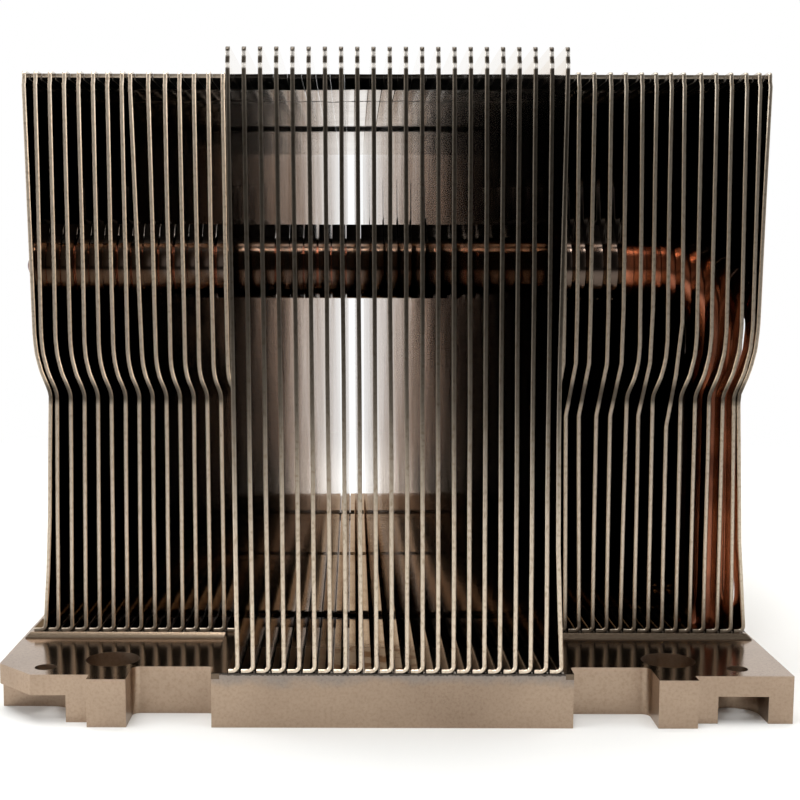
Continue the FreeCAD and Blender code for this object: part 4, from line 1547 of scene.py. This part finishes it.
@dataclass
class SolderBeads:
    """Solder that has run into the groove between each foot's fold and the next foot.

    Attributes:
        radius: Radius of a bead.
        lumps: How much the radius changes, as a share.
        waves: Lengths of its two waves.
        beside: Distance from the web's middle.
        sides: Points round a bead.
        rows: Points along a bead.
        piece: The built piece, all beads in one.
    """

    radius: float = 0.13 * MM
    lumps: float = 0.3
    waves: tuple[float, float] = (1.9 * MM, 0.71 * MM)
    beside: float = 0.12 * MM
    sides: int = 7
    rows: int = 70
    piece: bpy.types.Object = field(init=False, repr=False)

    def _bead(self, fin: Fin) -> Skin:
        """One bead: a thin rod along Y whose radius is one plus two sine waves.

        Args:
            fin: The fin that it runs along.

        Returns:
            The rod's surface, open at its ends.
        """
        along = np.linspace(fin.low[1] + 0.02 * MM, fin.high[1] - 0.02 * MM, self.rows)
        angle = np.linspace(0, 2 * math.pi, self.sides + 1)
        y, turn = np.meshgrid(along, angle, indexing="ij")
        phase = fin.number * 1.7
        wave = np.sin(y / self.waves[0] + phase) + np.sin(y / self.waves[1] - 2 * phase)
        radius = self.radius * (1 - self.lumps + self.lumps * wave / 2)
        outward = np.stack([np.cos(turn), np.zeros_like(turn), np.sin(turn)], axis=-1)
        centre = np.array([fin.web_x(0.0) + self.beside, 0.0, fin.low[2] + self.radius])
        points = centre + outward * radius[..., None] + np.stack([0 * y, y, 0 * y], axis=-1)
        return Skin.of_grid(points, outward)

    def build(self, pack: FinPack) -> None:
        """Lays a bead along every fin.

        Args:
            pack: The finished fins.
        """
        skin = Skin.welded([self._bead(fin) for fin in pack.shapes])
        self.piece = mesh_object("solder_beads", skin)
        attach(self.piece, "root")
        LOG.info("solder beads: %d", len(pack.shapes))

    def dress(self, finish: Solder) -> None:
        """Gives the beads their finish."""
        self.piece.data.materials.append(finish.material())


# ---------------------------------------------------------------------------- heat pipes
@dataclass
class HeatPipe:
    """A C-shaped heat pipe: a run through the fins, an upright leg and a flattened run below.

    Attributes:
        node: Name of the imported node.
        radius: Radius of the round pipe.
        bend: Radius of the upper bend's centre line.
        lower_bend: Radius of the lower one.
        flat: Height of the flattened run.
        flat_end: Where it ends, under the fins on the left.
        swage: Length of the closed, rounded end.
        swage_tip: Radius of its tip, as a share of the pipe's.
        sides: Points round the pipe.
        piece: The built piece.
    """

    node: str
    radius: float = 3.0 * MM
    bend: float = 7.5 * MM
    lower_bend: float = 5.5 * MM
    flat: float = 4.0 * MM
    flat_end: float = -30.0 * MM
    swage: float = 1.5 * MM
    swage_tip: float = 0.12
    sides: int = 40
    piece: bpy.types.Object = field(init=False, repr=False)

    def skin(self) -> Skin:
        """Builds the pipe's surface.

        The centre line is a straight, a quarter circle, a straight and a quarter circle into the
        last straight. Round it goes a stadium: a circle of the local radius, pulled apart along
        Y by the length that keeps its circumference.

        Returns:
            The surface, open at its two ends.
        """
        low, high = (np.array(corner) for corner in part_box(self.node))
        y = (low[1] + high[1]) / 2
        leg_x, run_z = high[0] - self.radius, high[2] - self.radius
        flat_z = low[2] + self.flat / 2
        bend_x, bend_z = leg_x - self.bend, run_z - self.bend
        low_x, low_z = leg_x - self.lower_bend, flat_z + self.lower_bend
        part = np.linspace(0, 1, 7)
        quarter = np.linspace(0, math.pi / 2, 19)
        turned = quarter / (math.pi / 2)
        tip_radius = self.radius * (self.swage_tip + (1 - self.swage_tip) * part**0.8)
        rows = [
            self._rows(low[0] + self.swage * part, run_z, 0.0, tip_radius, 0.0),
            self._rows(bend_x + self.bend * np.sin(quarter), bend_z + self.bend * np.cos(quarter),
                       -quarter, self.radius, 0.0),
            self._rows(low_x + self.lower_bend * np.cos(quarter), low_z - self.lower_bend * np.sin(quarter),
                       -math.pi / 2 - quarter, self.radius + (self.flat / 2 - self.radius) * turned, turned),
            self._rows(self.flat_end, flat_z, -math.pi, self.flat / 2, 1.0),
        ]
        x, z, heading, radius, flatness = np.concatenate(rows, axis=1)
        angle = np.linspace(0, 2 * math.pi, self.sides + 1)
        apart = flatness * math.pi * (self.radius - self.flat / 2) / 2
        across = radius[:, None] * np.cos(angle) + apart[:, None] * np.tanh(4 * np.cos(angle))
        above = radius[:, None] * np.sin(angle)
        up_x, up_z = -np.sin(heading)[:, None], np.cos(heading)[:, None]
        points = np.stack([x[:, None] + above * up_x, y + across, z[:, None] + above * up_z], axis=-1)
        centres = np.stack([x, np.full_like(x, y), z], axis=-1)[:, None, :]
        outward = points - centres
        outward /= np.linalg.norm(outward, axis=-1, keepdims=True)
        return Skin.welded([Skin.of_grid(points, outward)])

    @staticmethod
    def _rows(*columns: float | np.ndarray) -> np.ndarray:
        """Stretches values and arrays to equal length and stacks them."""
        return np.stack(np.broadcast_arrays(*[np.atleast_1d(column).astype(float) for column in columns]))

    def build(self) -> None:
        """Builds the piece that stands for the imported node."""
        self.piece = mesh_object(f"{self.node}_tube", self.skin())
        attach(self.piece, "root")
        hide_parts(self.node)
        LOG.info("heat pipe %s: %d faces", self.node, len(self.piece.data.polygons))

    def dress(self, material: bpy.types.Material) -> None:
        """Gives the pipe its finish."""
        self.piece.data.materials.append(material)


# ---------------------------------------------------------------------------- base
@dataclass
class Base:
    """The machined base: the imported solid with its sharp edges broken.

    Attributes:
        node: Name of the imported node.
        edge_break: Width of the broken edges.
        edge_degrees: Edges that turn by more than this are broken.
        sharp_degrees: Edges that turn by more than this stay sharp in shading.
        piece: The built piece.
    """

    node: str = "base"
    edge_break: float = 0.12 * MM
    edge_degrees: float = 35.0
    sharp_degrees: float = 30.0
    piece: bpy.types.Object = field(init=False, repr=False)

    def build(self) -> None:
        """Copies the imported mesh, merges its points and breaks its edges."""
        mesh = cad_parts[self.node].data.copy()
        mesh.materials.clear()
        shape = bmesh.new()
        shape.from_mesh(mesh)
        bmesh.ops.remove_doubles(shape, verts=shape.verts, dist=WELD * 10)
        bmesh.ops.dissolve_limit(shape, angle_limit=math.radians(1), verts=shape.verts, edges=shape.edges)
        shape.to_mesh(mesh)
        shape.free()
        self.piece = finished(f"{self.node}_plate", mesh, self.sharp_degrees)
        bevel = self.piece.modifiers.new("broken_edges", "BEVEL")
        bevel.width = self.edge_break
        bevel.segments = 2
        bevel.limit_method = "ANGLE"
        bevel.angle_limit = math.radians(self.edge_degrees)
        bevel.harden_normals = True
        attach(self.piece, "root")
        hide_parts(self.node)
        LOG.info("base: %d faces", len(mesh.polygons))

    def dress(self, finish: PlatedBase) -> None:
        """Gives the base its finish."""
        self.piece.data.materials.append(finish.material())


# ---------------------------------------------------------------------------- studio
@dataclass(frozen=True)
class Lamp:
    """A square soft lamp that looks at the object.

    Attributes:
        name: Its name.
        place: Where it hangs.
        size: Its side.
        power: Its power in watts.
        aim: The place it looks at.
    """

    name: str
    place: tuple[float, float, float]
    size: float
    power: float
    aim: tuple[float, float, float] = (0.0, 0.0, 0.03)

    def build(self) -> None:
        """Hangs the lamp."""
        light = bpy.data.lights.new(self.name, "AREA")
        light.shape, light.size, light.energy = "SQUARE", self.size, self.power
        holder = bpy.data.objects.new(self.name, light)
        holder.location = self.place
        way = Vector(self.aim) - Vector(self.place)
        holder.rotation_euler = way.to_track_quat("-Z", "Y").to_euler()
        bpy.context.scene.collection.objects.link(holder)


@dataclass(frozen=True)
class Surroundings:
    """What the object mirrors: white behind it, a dim room in front, lighter to the left.

    Attributes:
        fill: Strength on matt surfaces.
        dim: Strength of the darkest places that are mirrored.
        patches: Axis of each lighter patch, the direction's part along it where the patch starts
            and where it is full, and its strength there.
        aside: Sideways parts between which the rear patch fades, and what is left of it.
        low: Upward parts between which that fading stops.
    """

    fill: float = 0.45
    dim: float = 0.035
    patches: tuple[tuple[str, float, float, float], ...] = (
        ("Y", -0.15, 0.2, 1.0), ("X", -0.04, -0.16, 0.62), ("X", 0.04, 0.35, 0.3),
    )
    aside: tuple[float, float, float] = (0.045, 0.13, 0.68)
    low: tuple[float, float] = (0.11, 0.14)

    def _mirrored(self, tree: bpy.types.NodeTree) -> bpy.types.NodeSocket:
        """Strength in each direction: the brightest patch that reaches there.

        Args:
            tree: The world's node tree.

        Returns:
            The strength's socket.
        """
        way = add_node(tree, "ShaderNodeTexCoord").outputs["Generated"]
        axes = add_node(tree, "ShaderNodeSeparateXYZ", inputs={0: way}).outputs
        sideways = add_node(tree, "ShaderNodeMath", {"operation": "ABSOLUTE"}, {0: axes["X"]}).outputs[0]
        near, wide, left = self.aside
        narrow = add_node(
            tree, "ShaderNodeMapRange", inputs={0: sideways, 1: near, 2: wide, 3: 1.0, 4: left}
        ).outputs[0]
        narrow = add_node(
            tree, "ShaderNodeMapRange", inputs={0: axes["Z"], 1: self.low[0], 2: self.low[1], 3: narrow, 4: 1.0}
        ).outputs[0]
        light = self.dim
        for axis, start, full, strength in self.patches:
            patch = add_node(
                tree, "ShaderNodeMapRange", {"interpolation_type": "SMOOTHSTEP"},
                {0: axes[axis], 1: start, 2: full, 3: 0.0, 4: strength},
            ).outputs[0]
            patch = where_all(tree, patch, narrow) if axis == "Y" else patch
            light = add_node(tree, "ShaderNodeMath", {"operation": "MAXIMUM"}, {0: light, 1: patch}).outputs[0]
        return light

    def build(self) -> None:
        """Makes the world: plain white for the camera, patches for mirrors, a fill for the rest."""
        world = bpy.data.worlds.new("studio")
        bpy.context.scene.world = world
        world.use_nodes = True
        tree = world.node_tree
        tree.nodes.clear()
        rays = add_node(tree, "ShaderNodeLightPath").outputs
        seen = add_node(
            tree, "ShaderNodeMath", {"operation": "MAXIMUM"},
            {0: rays["Is Camera Ray"], 1: rays["Is Transmission Ray"]},
        ).outputs[0]
        unseen = add_node(
            tree, "ShaderNodeMix", {"data_type": "FLOAT"},
            {0: rays["Is Glossy Ray"], 2: self.fill, 3: self._mirrored(tree)},
        ).outputs[0]
        strength = add_node(tree, "ShaderNodeMath", {"operation": "MAXIMUM"}, {0: seen, 1: unseen}).outputs[0]
        sky = add_node(tree, "ShaderNodeBackground", inputs={"Color": WHITE, "Strength": strength}).outputs[0]
        add_node(tree, "ShaderNodeOutputWorld", inputs={0: sky})


@dataclass
class Studio:
    """Floor, soft lamps, plain white surroundings and the camera.

    Attributes:
        lamps: A broad lamp overhead, a small one high in front and a weak one on each side.
        camera_place: Where the camera stands.
        camera_pitch: Its turn about X, in degrees; 90 looks level.
        camera_roll: Its turn about its own axis, in degrees.
        lens: Focal length in millimetres on a 36 mm sensor.
        shift: Shift of the view, as a share of the sensor.
        floor_half: Half the table's side.
    """

    lamps: tuple[Lamp, ...] = (
        Lamp("lamp_over", (-0.05, 0.10, 0.75), 0.60, 5.2),
        Lamp("lamp_high_front", (-0.06, -0.33, 0.62), 0.10, 0.8),
        Lamp("lamp_left", (-0.60, -0.25, 0.25), 0.40, 1.6),
        Lamp("lamp_right", (0.60, -0.20, 0.30), 0.40, 1.0),
    )
    camera_place: tuple[float, float, float] = (-3.914 * MM, -182.18 * MM, 43.08 * MM)
    camera_pitch: float = 83.374
    camera_roll: float = 0.137
    lens: float = 61.89
    shift: tuple[float, float] = (0.0597, 0.0460)
    floor_half: float = 3.0

    def build_floor(self) -> None:
        """Lays a flat grid as the table top."""
        across = np.linspace(-self.floor_half, self.floor_half, 25)
        x, y = np.meshgrid(across, across, indexing="ij")
        points = np.stack([x, y, np.zeros_like(x)], axis=-1)
        normals = np.broadcast_to(np.array([0.0, 0.0, 1.0]), points.shape)
        skin = Skin.of_grid(points, normals)
        mesh = bpy.data.meshes.new("table_top")
        mesh.from_pydata(skin.points.tolist(), [], skin.quads.tolist())
        floor = bpy.data.objects.new("table_top", mesh)
        bpy.context.scene.collection.objects.link(floor)
        mesh.materials.append(PaleFloor().material())

    def build_camera(self) -> None:
        """Sets the camera."""
        lens = bpy.data.cameras.new("camera")
        lens.sensor_width, lens.lens = 36.0, self.lens
        lens.shift_x, lens.shift_y = self.shift
        lens.clip_start, lens.clip_end = 0.01, 20.0
        camera = bpy.data.objects.new("camera", lens)
        camera.location = self.camera_place
        camera.rotation_mode = "XYZ"
        tilt = Euler((math.radians(self.camera_pitch), 0, 0)).to_matrix()
        roll = Euler((0, 0, math.radians(self.camera_roll))).to_matrix()
        camera.rotation_euler = (tilt @ roll).to_euler()
        bpy.context.scene.collection.objects.link(camera)
        bpy.context.scene.camera = camera
        bpy.context.scene.view_settings.view_transform = "Standard"

    def build(self) -> None:
        """Builds the whole studio."""
        self.build_floor()
        for lamp in self.lamps:
            lamp.build()
        Surroundings().build()
        self.build_camera()


def main() -> None:
    """Builds and dresses the sub-assemblies in order."""
    logging.basicConfig(level=logging.INFO, format="%(message)s")
    Studio().build()
    base = Base()
    base.build()
    base.dress(PlatedBase())
    tube = CopperTube().material()
    for name in ("heat_pipe_front", "heat_pipe_rear"):
        pipe = HeatPipe(name)
        pipe.build()
        pipe.dress(tube)
    pack = FinPack()
    pack.build()
    pack.dress(NickelSheet())
    beads = SolderBeads()
    beads.build(pack)
    beads.dress(Solder())


if __name__ == "__main__":
    main()
